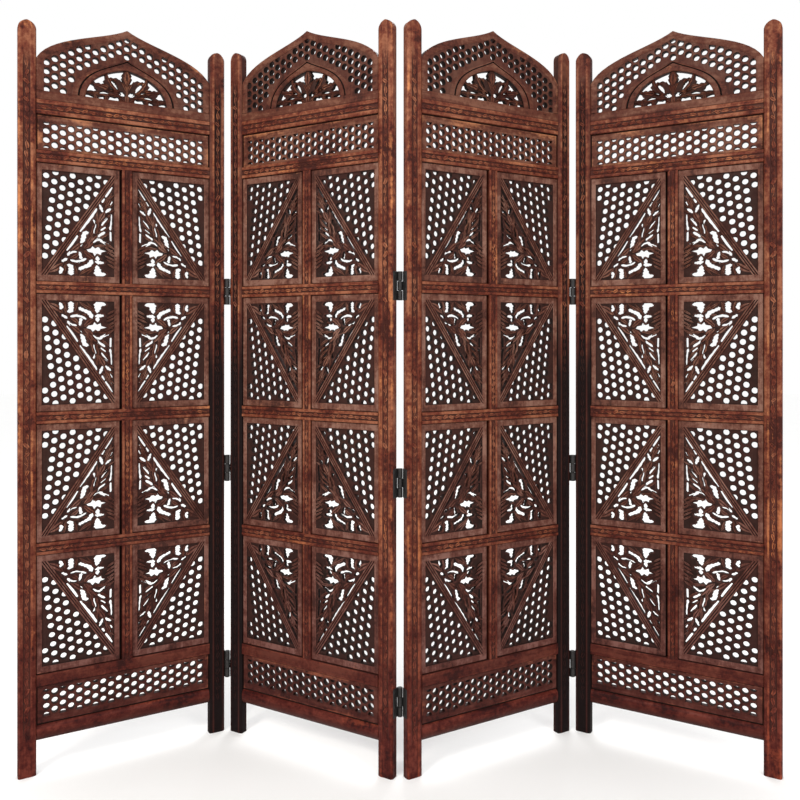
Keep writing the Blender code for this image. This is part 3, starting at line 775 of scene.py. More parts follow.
def gap(*spots):
    """A closed outline along bent points (u, v, width), round-ended; the wide ones are scalloped."""
    line = []
    for k in range(len(spots) - 1):
        before = spots[max(k - 1, 0)]
        here, there = spots[k], spots[k + 1]
        after = spots[min(k + 2, len(spots) - 1)]
        for s in range(STEPS_BETWEEN):
            t = s / STEPS_BETWEEN
            line.append([0.5 * (2 * b + (c - a) * t + (2 * a - 5 * b + 4 * c - d) * t * t
                                + (3 * b - a - 3 * c + d) * t ** 3)
                         for a, b, c, d in zip(before, here, there, after)])
    line.append(list(spots[-1]))
    left, right = [], []
    scallop = SCALLOP if max(spot[2] for spot in spots) >= WIDE_GAP else 0.0
    for k, (u, v, width) in enumerate(line):
        width *= 1 + (scallop if k % 2 else -scallop)
        before, after = line[max(k - 1, 0)], line[min(k + 1, len(line) - 1)]
        way = Vector((after[0] - before[0], after[1] - before[1])).normalized()
        left.append((u - way.y * width / 2, v + way.x * width / 2))
        right.append((u + way.y * width / 2, v - way.x * width / 2))

    def past(tip, inner):
        way = Vector((tip[0] - inner[0], tip[1] - inner[1])).normalized()
        return (tip[0] + way.x * tip[2] * ROUND_END, tip[1] + way.y * tip[2] * ROUND_END)

    return [past(line[0], line[1])] + left + [past(line[-1], line[-2])] + right[::-1]


# In mm: the bevel of a sawn edge, and how far from an edge the board has its full swell.
BOARD_BEVEL = 0.7
FULL_SWELL_AT = 7.0


def sawn_board(carving, outline, gaps, front, back, swell, step, along="z", ground=-0.58):
    """A board in mm with gaps through it. Its front swells between them, and its edges are bevelled."""
    low = [min(p[k] for p in outline) for k in (0, 1)]
    high = [max(p[k] for p in outline) for k in (0, 1)]
    loose = []
    for i in range(int((high[0] - low[0]) / step) + 1):
        for j in range(int((high[1] - low[1]) / step) + 1):
            loose.append(Vector((low[0] + (i + 0.5 * (j % 2)) * step, low[1] + j * step)))
    points, faces = triangulated([outline] + gaps, loose, 1e-5)
    kept = [face for face, own in faces if own == {0}]
    sides = {}
    for face in kept:
        for a, b in zip(face, face[1:] + face[:1]):
            sides[(a, b)] = True
    border = [(a, b) for a, b in sides if (b, a) not in sides]
    pull = {}
    for a, b in border:
        way = (points[b] - points[a]).normalized()
        for k in (a, b):
            pull.setdefault(k, Vector((0.0, 0.0)))
            pull[k] = pull[k] + Vector((way.y, -way.x))
    rim = np.array([points[k] for k in pull])
    used = sorted({k for face in kept for k in face})
    top, middle, bottom = {}, {}, {}
    corners, shades = [], []

    def corner(u, v, depth, shade):
        corners.append((u * MM, depth * MM, v * MM))
        shades.append(shade)
        return len(corners) - 1

    for k in used:
        u, v = points[k]
        if k in pull:
            away = pull[k].normalized() * BOARD_BEVEL
            top[k] = corner(u - away.x, v - away.y, front, -0.45)
            middle[k] = corner(u, v, front + BOARD_BEVEL, -0.8)
            bottom[k] = corner(u, v, back, -0.9)
        else:
            room = float(np.min(np.hypot(rim[:, 0] - u, rim[:, 1] - v)))
            rise = swell * min(1.0, room / FULL_SWELL_AT)
            top[k] = corner(u, v, front - rise, ground)
            bottom[k] = corner(u, v, back, -0.3)
    shapes = [tuple(top[k] for k in face) for face in kept]
    shapes += [tuple(bottom[k] for k in reversed(face)) for face in kept]
    for a, b in border:
        shapes.append((top[a], middle[a], middle[b], top[b]))
        shapes.append((middle[a], bottom[a], bottom[b], middle[b]))
    carving.put(corners, shapes, shades, along)


# %% [markdown]
# ## The carved tile
# Each tile is one board with a raised border, a corner-to-corner bar, honeycomb on one side
# of the bar and a leafy branch on the other. It is measured on the upper left tile: u runs
# right from the leaf's edge and v runs down from the top of the stiles, both in mm.

# %% Where things lie on the tile
TOP_V = 1829.0
TILE_LEFT, TILE_RIGHT = 41.3, 236.5
TILE_TOP, TILE_FOOT = 340.0, 630.0
WINDOW = (55.0, 358.0, 222.0, 612.0)
BAR_FOOT, BAR_TOP = (58.5, 612.0), (224.5, 358.0)
BAR_WIDTH = 15.5
BAR_ROWS = 7
TILE_HEIGHT = (TILE_FOOT - TILE_TOP) * MM
HOLE_PITCH, HOLE_TURN, HOLE_ANCHOR = 23.07, math.radians(-6.6), (90.6, 488.3)
HOLE_RADIUS, HOLE_BEVEL, HOLE_ROOM = 7.4, 1.2, 8.8
BRANCH_FRONT, LEAF_RIM, SERRATION_RIM, LEAF_BACK = -3.0, -3.2, -6.02, 2.0


def up(u, v):
    """From a place measured down the leaf to one measured up from the tile's foot."""
    return (u, TILE_FOOT - v)


def bar_v(u):
    """The middle of the bar, across the window from its outer foot to its inner top."""
    return BAR_FOOT[1] + (u - BAR_FOOT[0]) * (BAR_TOP[1] - BAR_FOOT[1]) / (BAR_TOP[0] - BAR_FOOT[0])


def bar_u(v):
    return BAR_FOOT[0] + (v - BAR_FOOT[1]) * (BAR_TOP[0] - BAR_FOOT[0]) / (BAR_TOP[1] - BAR_FOOT[1])


# %% Border and bar
# The border is dark at its outer edge, with grime and a painted shadow where rails, stiles and muntin
# stand proud of it, and at its inner edge as painted shade where it steps down to the sunk lattice.
BORDER_SECTION = [(0.0, 9.0, -0.3), (0.0, -5.0, -1.0), (0.06, -5.6, -0.8), (0.12, -6.0, 0.45),
                  (0.28, -6.0, 0.15), (0.80, -6.0, 0.05), (0.88, -5.7, 0.2), (0.94, -5.0, -0.6),
                  (1.0, -4.4, -0.9), (1.0, -3.6, -0.95), (1.0, 9.0, -0.4)]
BAR_SECTION = mirrored([(0.0, 8.6, -0.4), (0.0, -4.4, -0.9), (0.07, -6.2, -0.05), (0.14, -6.6, 0.05),
                        (0.25, -6.5, -0.25), (0.30, -4.9, -0.9), (0.37, -4.9, -0.9),
                        (0.42, -6.5, -0.25)], [(0.50, -6.7, -0.05)])


def tile_border(carving):
    left, top, right, foot = WINDOW
    outer = [up(TILE_LEFT, TILE_FOOT), up(TILE_LEFT, TILE_TOP), up(TILE_RIGHT, TILE_TOP),
             up(TILE_RIGHT, TILE_FOOT)]
    inner = [up(left, foot), up(left, top), up(right, top), up(right, foot)]
    moulding(carving, in_metres(outer), in_metres(inner), BORDER_SECTION, closed=True)


def tile_bar(carving):
    """The bar, with both ends run a little way under the border."""
    left, right = WINDOW[0] + 1.0, WINDOW[2] + 5.0
    start, end = Vector(up(left, bar_v(left))), Vector(up(right, bar_v(right)))
    way = (end - start).normalized()
    side = Vector((-way.y, way.x)) * BAR_WIDTH / 2
    spots = [start + (end - start) * (k / (BAR_ROWS - 1)) for k in range(BAR_ROWS)]
    moulding(carving, in_metres(tuple(spot + side) for spot in spots),
             in_metres(tuple(spot - side) for spot in spots), BAR_SECTION)


# %% The leafy half
BRANCH_GAPS = [
    gap((219.5, 384, 3.0), (211.5, 397, 5.5), (203, 410, 5)), gap((217, 406, 3.5), (213.6, 415, 3)),
    gap((200.5, 415, 4), (195, 424, 6)), gap((219, 421, 4), (214.5, 430, 2.5)),
    gap((189, 431, 5), (192.5, 440, 9), (196, 449, 5)), gap((216, 439, 4), (209, 444, 8), (202, 450, 4)),
    gap((181.5, 442, 6), (170, 460, 8.5), (156, 482, 6.5), (142.5, 501.5, 4)),
    gap((136.4, 513, 5), (124, 533, 6), (111.4, 550.5, 3.5)),
    gap((174.5, 471, 6), (178.8, 483, 5), (175.5, 494, 5), (174.5, 503, 5)),
    gap((207, 464, 5), (200, 473, 6), (193.6, 483, 4)), gap((203, 487, 4), (192, 495.5, 4.5)),
    gap((201, 500, 6), (185, 511, 7)),
    gap((217.5, 454, 4), (216.5, 476, 5), (214, 492, 7)), gap((215, 499, 6), (215.5, 520, 6)),
    gap((171, 528, 4), (186, 518.5, 8), (196, 525, 7), (210, 531, 6)),
    gap((160.5, 503, 8), (153, 506, 11), (150, 518, 12), (146, 530, 8), (143.5, 538, 4)),
    [(157, 546), (167, 543), (172.5, 535.5), (178.5, 542), (187.5, 536.5), (191.5, 544), (206, 547.5),
     (193.5, 551.5), (192, 559), (183, 555), (176, 562), (172, 554), (161, 552)],
    gap((184, 564, 9), (184, 575, 13), (188, 577, 9), (198, 577.5, 5)),
    gap((113.5, 562, 6), (120, 555, 7), (134, 552.5, 4)), gap((141.5, 554, 7), (144.5, 568, 9)),
    gap((111, 571.5, 7), (101, 577.5, 6)),
    gap((120.5, 574.5, 5), (139, 577, 7), (156, 569, 5)),
    gap((170, 574, 11), (164, 584, 11), (152, 590, 8), (141.5, 595, 9)),
    gap((114, 587, 7), (121, 590, 12), (121, 600, 13), (121, 607, 14)),
    gap((94, 595, 8), (99.5, 598, 10), (95.5, 607, 7)),
    gap((182.5, 587, 9), (184, 596, 16), (186, 604, 22), (192, 607, 14), (203, 606, 5)),
]
BRANCH_LEAVES = [
    ((118, 556), (166, 520), 13, -2, 0), ((150, 545), (188, 503), 15, 3, 0),
    ((166, 514), (183, 447), 11, 3, 1), ((181, 508), (190, 452), 8, -2, 1),
    ((184, 478), (206, 428), 12, 3, 1), ((201, 438), (217, 398), 9, 2, 1),
    ((197, 432), (209, 411), 6, -1, 0), ((205, 436), (221, 414), 5, 0, 0),
    ((203, 442), (222, 428), 5, 0, 0), ((190, 478), (215, 452), 7, 2, 0),
    ((185, 496), (213, 466), 7, 2, 0), ((184, 505), (213, 484), 6, 1, 0),
    ((178, 520), (213, 500), 8, 2, 1), ((172, 538), (219, 540), 8, -3, 1),
    ((158, 543), (173, 508), 10, -2, 0), ((150, 549), (182, 574), 12, 2, 1),
    ((120, 570), (139, 556), 10, 2, 0), ((162, 578), (127, 584), 7, 3, 0),
    ((177, 586), (138, 612), 9, 1, 0), ((182, 580), (156, 612), 6, 0, 0),
    ((102, 583), (64, 607), 16, -3, 0), ((128, 586), (136, 611), 8, 1, 0),
    ((104, 612), (110, 580), 8, -1, 0), ((150, 470), (128, 512), 6, 1, 0),
    ((206, 555), (220, 543), 7, 1, 0), ((192, 560), (178, 556), 6, 0, 0),
]
SERRATIONS = [((200, 527), (226, 545), 5.6), ((197, 537), (227, 556), 5.6), ((209, 553), (229, 565), 5.6),
              ((199, 560), (230, 575), 5.6), ((203, 569), (229, 584), 5.6), ((205, 580), (228, 594), 5.6),
              ((206, 418), (224, 404), 4.5), ((208, 452), (224, 443), 4.5)]


def leafy_half(carving):
    foot, right = 625.0, 231.5
    outline = [up(bar_u(foot), foot), up(right, foot), up(right, bar_v(right))]
    gaps = [[up(u, v) for u, v in loop] for loop in BRANCH_GAPS]
    sawn_board(carving, outline, gaps, BRANCH_FRONT, PANEL_BACK / MM, swell=1.2, step=6.5,
               ground=-0.78)
    for root, tip, width, bend, teeth in BRANCH_LEAVES:
        carved_leaf(carving, up(*root), up(*tip), width, LEAF_RIM, LEAF_BACK, crest=3.0, bend=-bend,
                    teeth=teeth, gaps=gaps)
    for root, tip, width in SERRATIONS:
        carved_leaf(carving, up(*root), up(*tip), width, SERRATION_RIM, LEAF_BACK, crest=1.3, rows=5)


def lattice_half(carving):
    """The honeycomb board. Its edges lie under the border and, by `slip`, under the bar."""
    reach, tuck, slip = 9.0, 2.6, 3.0
    left, top = WINDOW[0] - tuck, WINDOW[1] - reach
    corners = [up(left, bar_v(left - slip)), up(left, top), up(bar_u(top) + slip, top)]
    board = flat_board("tile lattice", [in_metres(corners)], bool)
    anchor = in_metres([up(*HOLE_ANCHOR)])[0]
    pierced(carving, board, tile_wood, HOLE_PITCH * MM, HOLE_TURN, anchor, HOLE_RADIUS * MM,
            HOLE_BEVEL * MM, HOLE_ROOM * MM, (0.0, 0.0), (1.0, 1.0), face_shade=-0.7)


# %% The whole tile
def carved_tile():
    carving = Carving()
    tile_border(carving)
    lattice_half(carving)
    leafy_half(carving)
    tile_bar(carving)
    return carving.mesh("carved tile", tile_wood)


TILE = carved_tile()
print("tile triangles:", triangles_in(TILE))

# %% [markdown]
# ## The running vine
# Rails, muntins and stiles carry a shallow channel with a wavy stem and small leaves in its
# bends. A curve that waves along the band and small leaves set on a row of points are just
# what geometry nodes are for.

# %% One small leaf for the vine
def bud_mesh():
    """A leaf one unit long, wide and high, with a sunk vein."""
    points = [(-0.5, 0.0, -0.2)]
    for x, half in ((-0.34, 0.36), (0.02, 0.5), (0.34, 0.30)):
        points += [(x, -half, 0.0), (x, -half * 0.5, 1.0), (x, 0.0, 0.35), (x, half * 0.5, 1.0),
                   (x, half, 0.0), (x, 0.0, -0.4)]
    points.append((0.5, 0.0, 0.0))
    faces = []
    for k in range(6):
        turn = (k + 1) % 6
        faces.append((0, 1 + k, 1 + turn))
        for row in (0, 1):
            a = 1 + row * 6
            faces.append((a + k, a + 6 + k, a + 6 + turn, a + turn))
        faces.append((13 + k, 19, 13 + turn))
    mesh = bpy.data.meshes.new("bud")
    mesh.from_pydata(points, [], faces)
    return mesh


bud = bpy.data.objects.new("bud", bud_mesh())

# %% The vine tree
VINE_INPUTS = [("Start", "shape"), ("Length", "number"), ("Wave", "number"), ("Reach", "number"),
               ("Stem", "number"), ("Leaf Length", "number"), ("Leaf Width", "number"),
               ("Leaf Height", "number"), ("Leaf Lean", "number"), ("Leaf", "object"),
               ("Finish", "finish")]
STEPS_IN_WAVE = 8.0
# How a carver's hand varies the leaves: their lean in radians and their size.
HAND_LEAN = 0.55
HAND_SIZE = (0.62, 1.12)


def vine_tree():
    tree, wish, end = new_tree("running vine", VINE_INPUTS)
    position = out(tree, "GeometryNodeInputPosition")
    line = out(tree, "GeometryNodeCurvePrimitiveLine", End=vector(tree, X=wish["Length"]))
    waves = math_node(tree, "DIVIDE", wish["Length"], wish["Wave"])
    fine = out(tree, "GeometryNodeResampleCurve", Curve=line, Count=times(tree, waves, STEPS_IN_WAVE))
    along = add(tree, "ShaderNodeSeparateXYZ", Vector=position).outputs[0]
    angle = times(tree, math_node(tree, "DIVIDE", along, wish["Wave"]), 2 * math.pi)
    sway = times(tree, math_node(tree, "SINE", angle), wish["Reach"])
    stem_line = moved(tree, fine, Offset=vector(tree, Y=sway))
    round_section = out(tree, "GeometryNodeCurvePrimitiveCircle", Resolution=5, Radius=wish["Stem"])
    stem = out(tree, "GeometryNodeCurveToMesh", Curve=stem_line, Profile_Curve=round_section,
               Fill_Caps=True)

    half_wave = vector(tree, X=times(tree, wish["Wave"], 0.5))
    first_crest = out(tree, "ShaderNodeVectorMath", {"operation": "SCALE"}, i0=half_wave, Scale=0.5)
    row = out(tree, "GeometryNodeMeshLine", Count=times(tree, waves, 2.0), Start_Location=first_crest,
              Offset=half_wave)
    parity = math_node(tree, "MODULO", out(tree, "GeometryNodeInputIndex"), 2.0)
    sign = minus(tree, times(tree, parity, 2.0), 1.0)
    tuck = times(tree, times(tree, sign, wish["Reach"]), 0.35)
    spots = moved(tree, row, Offset=vector(tree, Y=tuck))
    by_hand = add(tree, "FunctionNodeRandomValue", {"data_type": "FLOAT"}, i2=-HAND_LEAN,
                  i3=HAND_LEAN, Seed=5).outputs[1]
    angle = plus(tree, times(tree, sign, wish["Leaf Lean"]), by_hand)
    size = vector(tree, X=wish["Leaf Length"], Y=wish["Leaf Width"], Z=wish["Leaf Height"])
    by_hand = add(tree, "FunctionNodeRandomValue", {"data_type": "FLOAT"}, i2=HAND_SIZE[0],
                  i3=HAND_SIZE[1], Seed=11).outputs[1]
    size = out(tree, "ShaderNodeVectorMath", {"operation": "SCALE"}, i0=size, Scale=by_hand)
    leaf = add(tree, "GeometryNodeObjectInfo", Object=wish["Leaf"]).outputs["Geometry"]
    leaves = out(tree, "GeometryNodeInstanceOnPoints", Points=spots, Instance=leaf,
                 Rotation=vector(tree, Z=angle), Scale=size)
    return finish_tree(tree, joined(tree, stem, leaves), wish, end)


VINE = vine_tree()
print("vine tree nodes:", len(VINE.nodes))


# %% Laying a vine into a channel
VINE_FOOT_SHADE = -1.1
VINE_RISE_SHADE = 1.55


def lay_vine(carving, start, length, across, floor_depth, along, wave, reach, leaf, stem=1.1,
             lean=0.35):
    """A vine along Z or X from `start`, its middle at `across`, all in mm; floor_depth is that of
    the channel, and leaf is a leaf's length, width and height."""
    seed = bpy.data.meshes.new("vine start")
    result = run_tree(VINE, seed, {"Length": length, "Wave": wave, "Reach": reach, "Stem": stem,
                                   "Leaf Length": leaf[0], "Leaf Width": leaf[1],
                                   "Leaf Height": leaf[2], "Leaf Lean": lean, "Leaf": bud,
                                   "Finish": frame_wood})
    points, shades = [], []
    for vertex in result.vertices:
        run, side, rise = vertex.co
        depth = floor_depth - rise
        if along == "x":
            spot = (start + run, depth, across + side)
        else:
            spot = (across + side, depth, start + run)
        points.append(tuple(value * MM for value in spot))
        shades.append(VINE_FOOT_SHADE + VINE_RISE_SHADE * min(1.0, max(0.0, 1.3 * rise / leaf[2])))
    carving.put(points, [tuple(face.vertices) for face in result.polygons], shades, along)
    bpy.data.meshes.remove(result)


# %% [markdown]
# ## Rails, muntins and stiles
# A rail is a straight moulding with rubbed arrises and a channel in the middle for the vine.
# The lowest rail of the tiers and the bottom rail of the leaf stay plain.

# %% Rails
RAIL_DEPTH = HALF_RAIL / MM
RAIL_SINK = 1.4
CHANNEL_SHADE = -0.45
ARRIS = 0.35
# How far a vine stops short of the ends of its rail or muntin, in mm.
VINE_MARGIN = 6.0


def channelled(front, back, edge, channel):
    """Half a section, mirrored: back corner, rubbed arris and one side of the carved channel.
    edge and channel say where those end, as shares of the width."""
    floor = front + RAIL_SINK
    return mirrored([(0.0, back, -0.4), (0.0, front + ARRIS * 3.4, -0.4),
                     (edge * 0.5, front + ARRIS, 0.1), (edge, front, 0.06), (edge + 0.08, front, 0.12),
                     (channel - 0.04, front, 0.1), (channel + 0.02, floor, CHANNEL_SHADE - 0.35),
                     (channel + 0.1, floor, CHANNEL_SHADE)])


PLAIN_RAIL = mirrored([(0.0, RAIL_DEPTH, -0.4), (0.0, 1.2 - RAIL_DEPTH, -0.4),
                       (0.04, 0.3 - RAIL_DEPTH, 0.2), (0.09, -RAIL_DEPTH, 0.12),
                       (0.2, -RAIL_DEPTH, 0.02)])


def across_leaf(height):
    """The line across the leaf, between its stiles, at one height."""
    return [(INNER_LEFT, height), (INNER_RIGHT, height)]


def straight_rail(foot, top, section, wave=None, reach=None):
    """A rail over the leaf's width, with a vine if its wave is given."""
    carving = Carving()
    moulding(carving, across_leaf(foot), across_leaf(top), section, along="x")
    if wave:
        lay_vine(carving, INNER_LEFT / MM + VINE_MARGIN,
                 (INNER_RIGHT - INNER_LEFT) / MM - 2 * VINE_MARGIN, (foot + top) / 2 / MM,
                 RAIL_SINK - RAIL_DEPTH, "x", wave, reach, leaf=(wave * 0.5, 11.5, RAIL_SINK))
    return carving.mesh("rail", frame_wood)


RAIL_SECTION = channelled(-RAIL_DEPTH, RAIL_DEPTH, 0.07, 0.28)
TOP_RAIL_SECTION = channelled(-RAIL_DEPTH, RAIL_DEPTH, 0.06, 0.29)
TIER_RAIL = straight_rail(RAIL_GAP, RAIL_HEIGHT, RAIL_SECTION, 35.0, 2.4)
LOWEST_RAIL = straight_rail(RAIL_GAP, RAIL_HEIGHT, PLAIN_RAIL)
SECOND_RAIL_MESH = straight_rail(*SECOND_RAIL, RAIL_SECTION, 35.0, 2.4)
TOP_RAIL_MESH = straight_rail(*TOP_RAIL, TOP_RAIL_SECTION, 38.0, 2.8)
print("rail triangles:", triangles_in(TIER_RAIL))


# %% The bottom rail
def bottom_rail():
    """Plain, and rounded in front like a bullnose, darker towards its underside as painted shade and
    lighter along its top as a painted highlight.
    """
    carving = Carving()
    steps = 9
    section = [(0.0, RAIL_DEPTH, -0.5)]
    # Each row round the nose is painted lighter the higher it lies: painted shade underneath, painted
    # highlight along the top.
    for k in range(steps + 1):
        angle = math.pi * k / steps
        section.append((0.5 * (1 - math.cos(angle)), -RAIL_DEPTH * math.sin(angle),
                        -0.62 + 1.2 * (k / steps) ** 1.5))
    section.append((1.0, RAIL_DEPTH, -0.4))
    foot, top = BOTTOM_RAIL
    moulding(carving, across_leaf(foot), across_leaf(top), section, along="x")
    return carving.mesh("bottom rail", frame_wood)


BOTTOM_RAIL_MESH = bottom_rail()


# %% Muntins
def muntin():
    """The upright between two tiles, with the lip that closes the gap on its left, painted near-black as
    the shadow down in that gap.
    """
    carving = Carving()
    line_a = [(MUNTIN_LEFT, 0.0), (MUNTIN_LEFT, TILE_HEIGHT)]
    line_b = [(MUNTIN_RIGHT, 0.0), (MUNTIN_RIGHT, TILE_HEIGHT)]
    moulding(carving, line_a, line_b, channelled(-RAIL_DEPTH, 9.0, 0.08, 0.27))
    # The lip is painted near-black all over: painted shadow at the bottom of the gap.
    lip = [(0.0, 9.0, -0.9), (0.0, 3.0, -0.9), (1.0, 3.0, -0.9), (1.0, 9.0, -0.9)]
    moulding(carving, [(TILE_RIGHT * MM, 0.0), (TILE_RIGHT * MM, TILE_HEIGHT)], line_a, lip)
    lay_vine(carving, VINE_MARGIN, TILE_HEIGHT / MM - 2 * VINE_MARGIN,
             (MUNTIN_LEFT + MUNTIN_RIGHT) / 2 / MM, RAIL_SINK - RAIL_DEPTH, "z", 33.0, 2.0,
             leaf=(16.5, 10.5, RAIL_SINK))
    return carving.mesh("muntin", frame_wood)


MUNTIN = muntin()

# %% [markdown]
# The stiles run the full height. Their tops are rounded over like a thumb, so the two edge
# lines of the moulding curve in towards each other there.

# %% Stiles
STILE_DEPTH = HALF_STILE / MM
STILE_BAND = 0.475
STILE_VINE = (86.0, 1672.0)
STILE_SINK = 1.2
BAND_SHADE = -0.46


def stile_section(sunk):
    """From the stile's outer edge: arris, flat, carved band, a rubbed ridge, and a long bevel.
    `sunk` is how far the band has come down, from nothing at the ends of the carving to one."""
    face, floor, shade = -STILE_DEPTH, STILE_SINK * sunk - STILE_DEPTH, BAND_SHADE * sunk
    return [(0.1, STILE_DEPTH, -0.2), (0.0, 8.5, -0.3), (0.0, -8.5, 0.1), (0.05, -10.5, 0.45),
            (0.1, face, 0.4), (0.16, face, 0.2), (0.25, face, 0.0), (0.30, floor, shade * 1.5),
            (0.35, floor, shade), (0.60, floor, shade), (0.65, floor, shade * 1.5),
            (0.69, face, 0.05), (0.73, face, 0.5), (0.79, -12.4, 0.4), (0.83, -12.0, 0.05),
            (0.93, -11.0, -0.05), (0.97, -9.9, -0.1), (1.0, -8.5, -0.35), (1.0, 8.5, -0.3),
            (0.9, STILE_DEPTH, -0.2)]


# The darker painted shade low on a far stile, for the shadow in a back fold, ends between these two
# heights.
TINT_FADE_FOOT = 0.95
TINT_FADE_TOP = 1.15


def stile(left, outer_is_left):
    """A stile from its left edge; rows say at which heights the carved band is how far sunk."""
    carving = Carving()
    steps = 8
    half = STILE_WIDTH / 2
    middle = left + half
    shoulder = STILE_HEIGHT - half
    rows = [(0.0, 0.0), (0.07, 0.0), (0.12, 1.0), (TINT_FADE_FOOT, 1.0), (TINT_FADE_TOP, 1.0),
            (1.715, 1.0), (1.768, 0.0), (shoulder, 0.0)]
    line_a = [(left, z) for z, _ in rows]
    line_b = [(left + STILE_WIDTH, z) for z, _ in rows]
    sections = [stile_section(sunk) for _, sunk in rows] + [stile_section(0.0)] * steps
    for k in range(1, steps + 1):
        angle = math.pi / 2 * min(k / steps, 0.985)
        line_a.append((middle - half * math.cos(angle), shoulder + half * math.sin(angle)))
        line_b.append((middle + half * math.cos(angle), shoulder + half * math.sin(angle)))
    if outer_is_left:
        moulding(carving, line_a, line_b, sections)
        band = left + STILE_WIDTH * STILE_BAND
    else:
        moulding(carving, line_b, line_a, sections)
        band = left + STILE_WIDTH * (1 - STILE_BAND)
    lay_vine(carving, *STILE_VINE, band / MM, STILE_SINK - STILE_DEPTH, "z", 44.0, 2.8,
             leaf=(21.0, 13.0, STILE_SINK), stem=1.0, lean=0.3)
    return carving.mesh("stile", frame_wood)


LEFT_STILE = stile(0.0, True)
RIGHT_STILE = stile(LEAF_WIDTH - STILE_WIDTH, False)
print("stile triangles:", triangles_in(LEFT_STILE))

# %% [markdown]
# ## Lattice strips
# Above and below the tiles runs a strip of the same honeycomb in a plain border.

# %% The two strips
# The strip's border is painted near-black at its outer edge as the shadow of the rails and stiles
# standing proud of it; the lighter band beside it is rubbed, and partly a painted highlight on that
# raised edge.
STRIP_BORDER = [(0.0, 9.0, -0.3), (0.0, -4.4, -1.0), (0.14, -4.8, -1.0), (0.20, -6.0, 0.6),
                (0.30, -6.0, 0.5), (0.42, -5.9, 0.32), (0.60, -5.7, 0.3), (1.0, -5.5, 0.12),
                (1.0, -4.9, -0.4), (1.0, 9.0, -0.4)]
STRIP_WINDOW = (0.0555, 0.4525)
STRIP_FRONT = -0.0051
STRIP_HOLE, STRIP_ROOM = 0.0078, 0.0035
FINE_PITCH = 0.0219
FINE_BEVEL = 0.0008
FINE_SIDES = 12


def lattice_strip(foot, top, window_foot, window_top, row_v):
    """One honeycomb strip; row_v is the place, in mm down the leaf, of the hole on its middle line."""
    carving = Carving()
    left, right = STRIP_WINDOW
    outer = [(INNER_LEFT, foot), (INNER_LEFT, top), (INNER_RIGHT, top), (INNER_RIGHT, foot)]
    inner = [(left, window_foot), (left, window_top), (right, window_top), (right, window_foot)]
    moulding(carving, outer, inner, STRIP_BORDER, closed=True, along="x")
    side_reach, reach, gap_above, hold = 0.009, 0.0135, 0.0006, 0.0004
    low = (left - side_reach, max(foot + gap_above, window_foot - reach))
    high = (right + side_reach, min(top - gap_above, window_top + reach))
    board = flat_board("strip lattice", [[low, (high[0], low[1]), high, (low[0], high[1])]], bool)
    anchor = (MIDDLE, STILE_HEIGHT - row_v * MM)
    pierced(carving, board, arch_wood, FINE_PITCH, 0.0, anchor, STRIP_HOLE, FINE_BEVEL, STRIP_ROOM,
            (low[0] + hold, low[1] + hold), (high[0] - hold, high[1] - hold), front=STRIP_FRONT,
            sides=FINE_SIDES, face_shade=-0.22)
    return carving.mesh("strip", arch_wood)


UPPER_STRIP_MESH = lattice_strip(*UPPER_STRIP, 1.526, 1.589, 261.0)
LOWER_STRIP_MESH = lattice_strip(*LOWER_STRIP, 0.137, 0.202, 1647.0)
print("strip triangles:", triangles_in(UPPER_STRIP_MESH))

# %% [markdown]
# ## The arch
# The crest of each leaf is an ogee arch of honeycomb with a pointed eye in it, where lobed
# leaves fan out from the middle of the base. Rim, foot and the eye's ring are mouldings; the
# honeycomb lies between them; a sawn board with leaves laid over it fills the eye.

# %% Edge lines of the arch
ARCH_HEIGHT = 0.204
ARCH_SHOULDER = 0.101
ARCH_RIM = 0.017
FOOT_BAND = 0.022
EYE_HALF = 0.1005
EYE_HEIGHT = 0.080
EYE_BASE = ARCH_FOOT + FOOT_BAND
ARCH_FRONT = -0.0082
ARCH_HOLE, ARCH_ROOM = 0.0077, 0.0082
TOP_HOLE_Z = STILE_HEIGHT - 0.0062
# How far the honeycomb board and its own hole reach under the rim, the foot and the ring.
UNDER_RIM, UNDER_FOOT, HOLE_UNDER_FOOT, UNDER_RING = 0.0075, 0.008, 0.012, 0.05
ARCH_STEPS = 14
RING_STEPS = 12


def bezier(corners, count):
    line = []
    for k in range(count + 1):
        t = k / count
        a, b, c, d = ((1 - t) ** 3, 3 * t * (1 - t) ** 2, 3 * t * t * (1 - t), t ** 3)
        line.append(tuple(sum(w * p[n] for w, p in zip((a, b, c, d), corners)) for n in (0, 1)))
    return line


def both_halves(right_half):
    """From a right half that ends on the middle line to the whole line, left to right."""
    left = [(MIDDLE - x, z) for x, z in right_half]
    right = [(MIDDLE + x, z) for x, z in right_half]
    return left + right[::-1][1:]


def arch_line():
    half = (INNER_RIGHT - INNER_LEFT) / 2
    curve = bezier([(half, ARCH_SHOULDER), (half * 0.851, ARCH_HEIGHT * 0.784),
                    (half * 0.263, ARCH_HEIGHT * 0.838), (0.0, ARCH_HEIGHT)], ARCH_STEPS)
    line = [(half, FOOT_BAND)] + curve
    return both_halves([(x, ARCH_FOOT + z) for x, z in line])


def eye_line(grown):
    half, height = EYE_HALF + grown, EYE_HEIGHT + grown
    curve = bezier([(half, 0.0), (half * 0.935, height * 0.65), (half * 0.458, height * 0.90),
                    (0.0, height)], RING_STEPS)
    return both_halves([(x, EYE_BASE + z) for x, z in curve])


# %% Rim, foot and ring
RIM_SECTION = [(0.0, 10.0, -0.3), (0.0, -8.6, 0.2), (0.12, -10.0, 0.45), (0.45, -10.0, 0.15),
               (0.85, -9.3, 0.0), (1.0, -8.7, -0.1), (1.0, -8.0, -0.5), (1.0, 9.0, -0.4)]
FOOT_SECTION = [(0.0, 10.0, -0.4), (0.0, -9.4, -0.5), (0.10, -10.0, 0.1), (0.85, -9.8, 0.05),
                (0.96, -8.8, 0.1), (1.0, -7.8, -0.3), (1.0, 9.0, -0.4)]


def ring_outer():
    """The ring's outer edge: an ogee that rises to a point above the eye."""
    curve = bezier([(0.133, 0.0), (0.129, 0.068), (0.048, 0.081), (0.0, 0.1065)], RING_STEPS)
    return both_halves([(x, EYE_BASE + z) for x, z in curve])


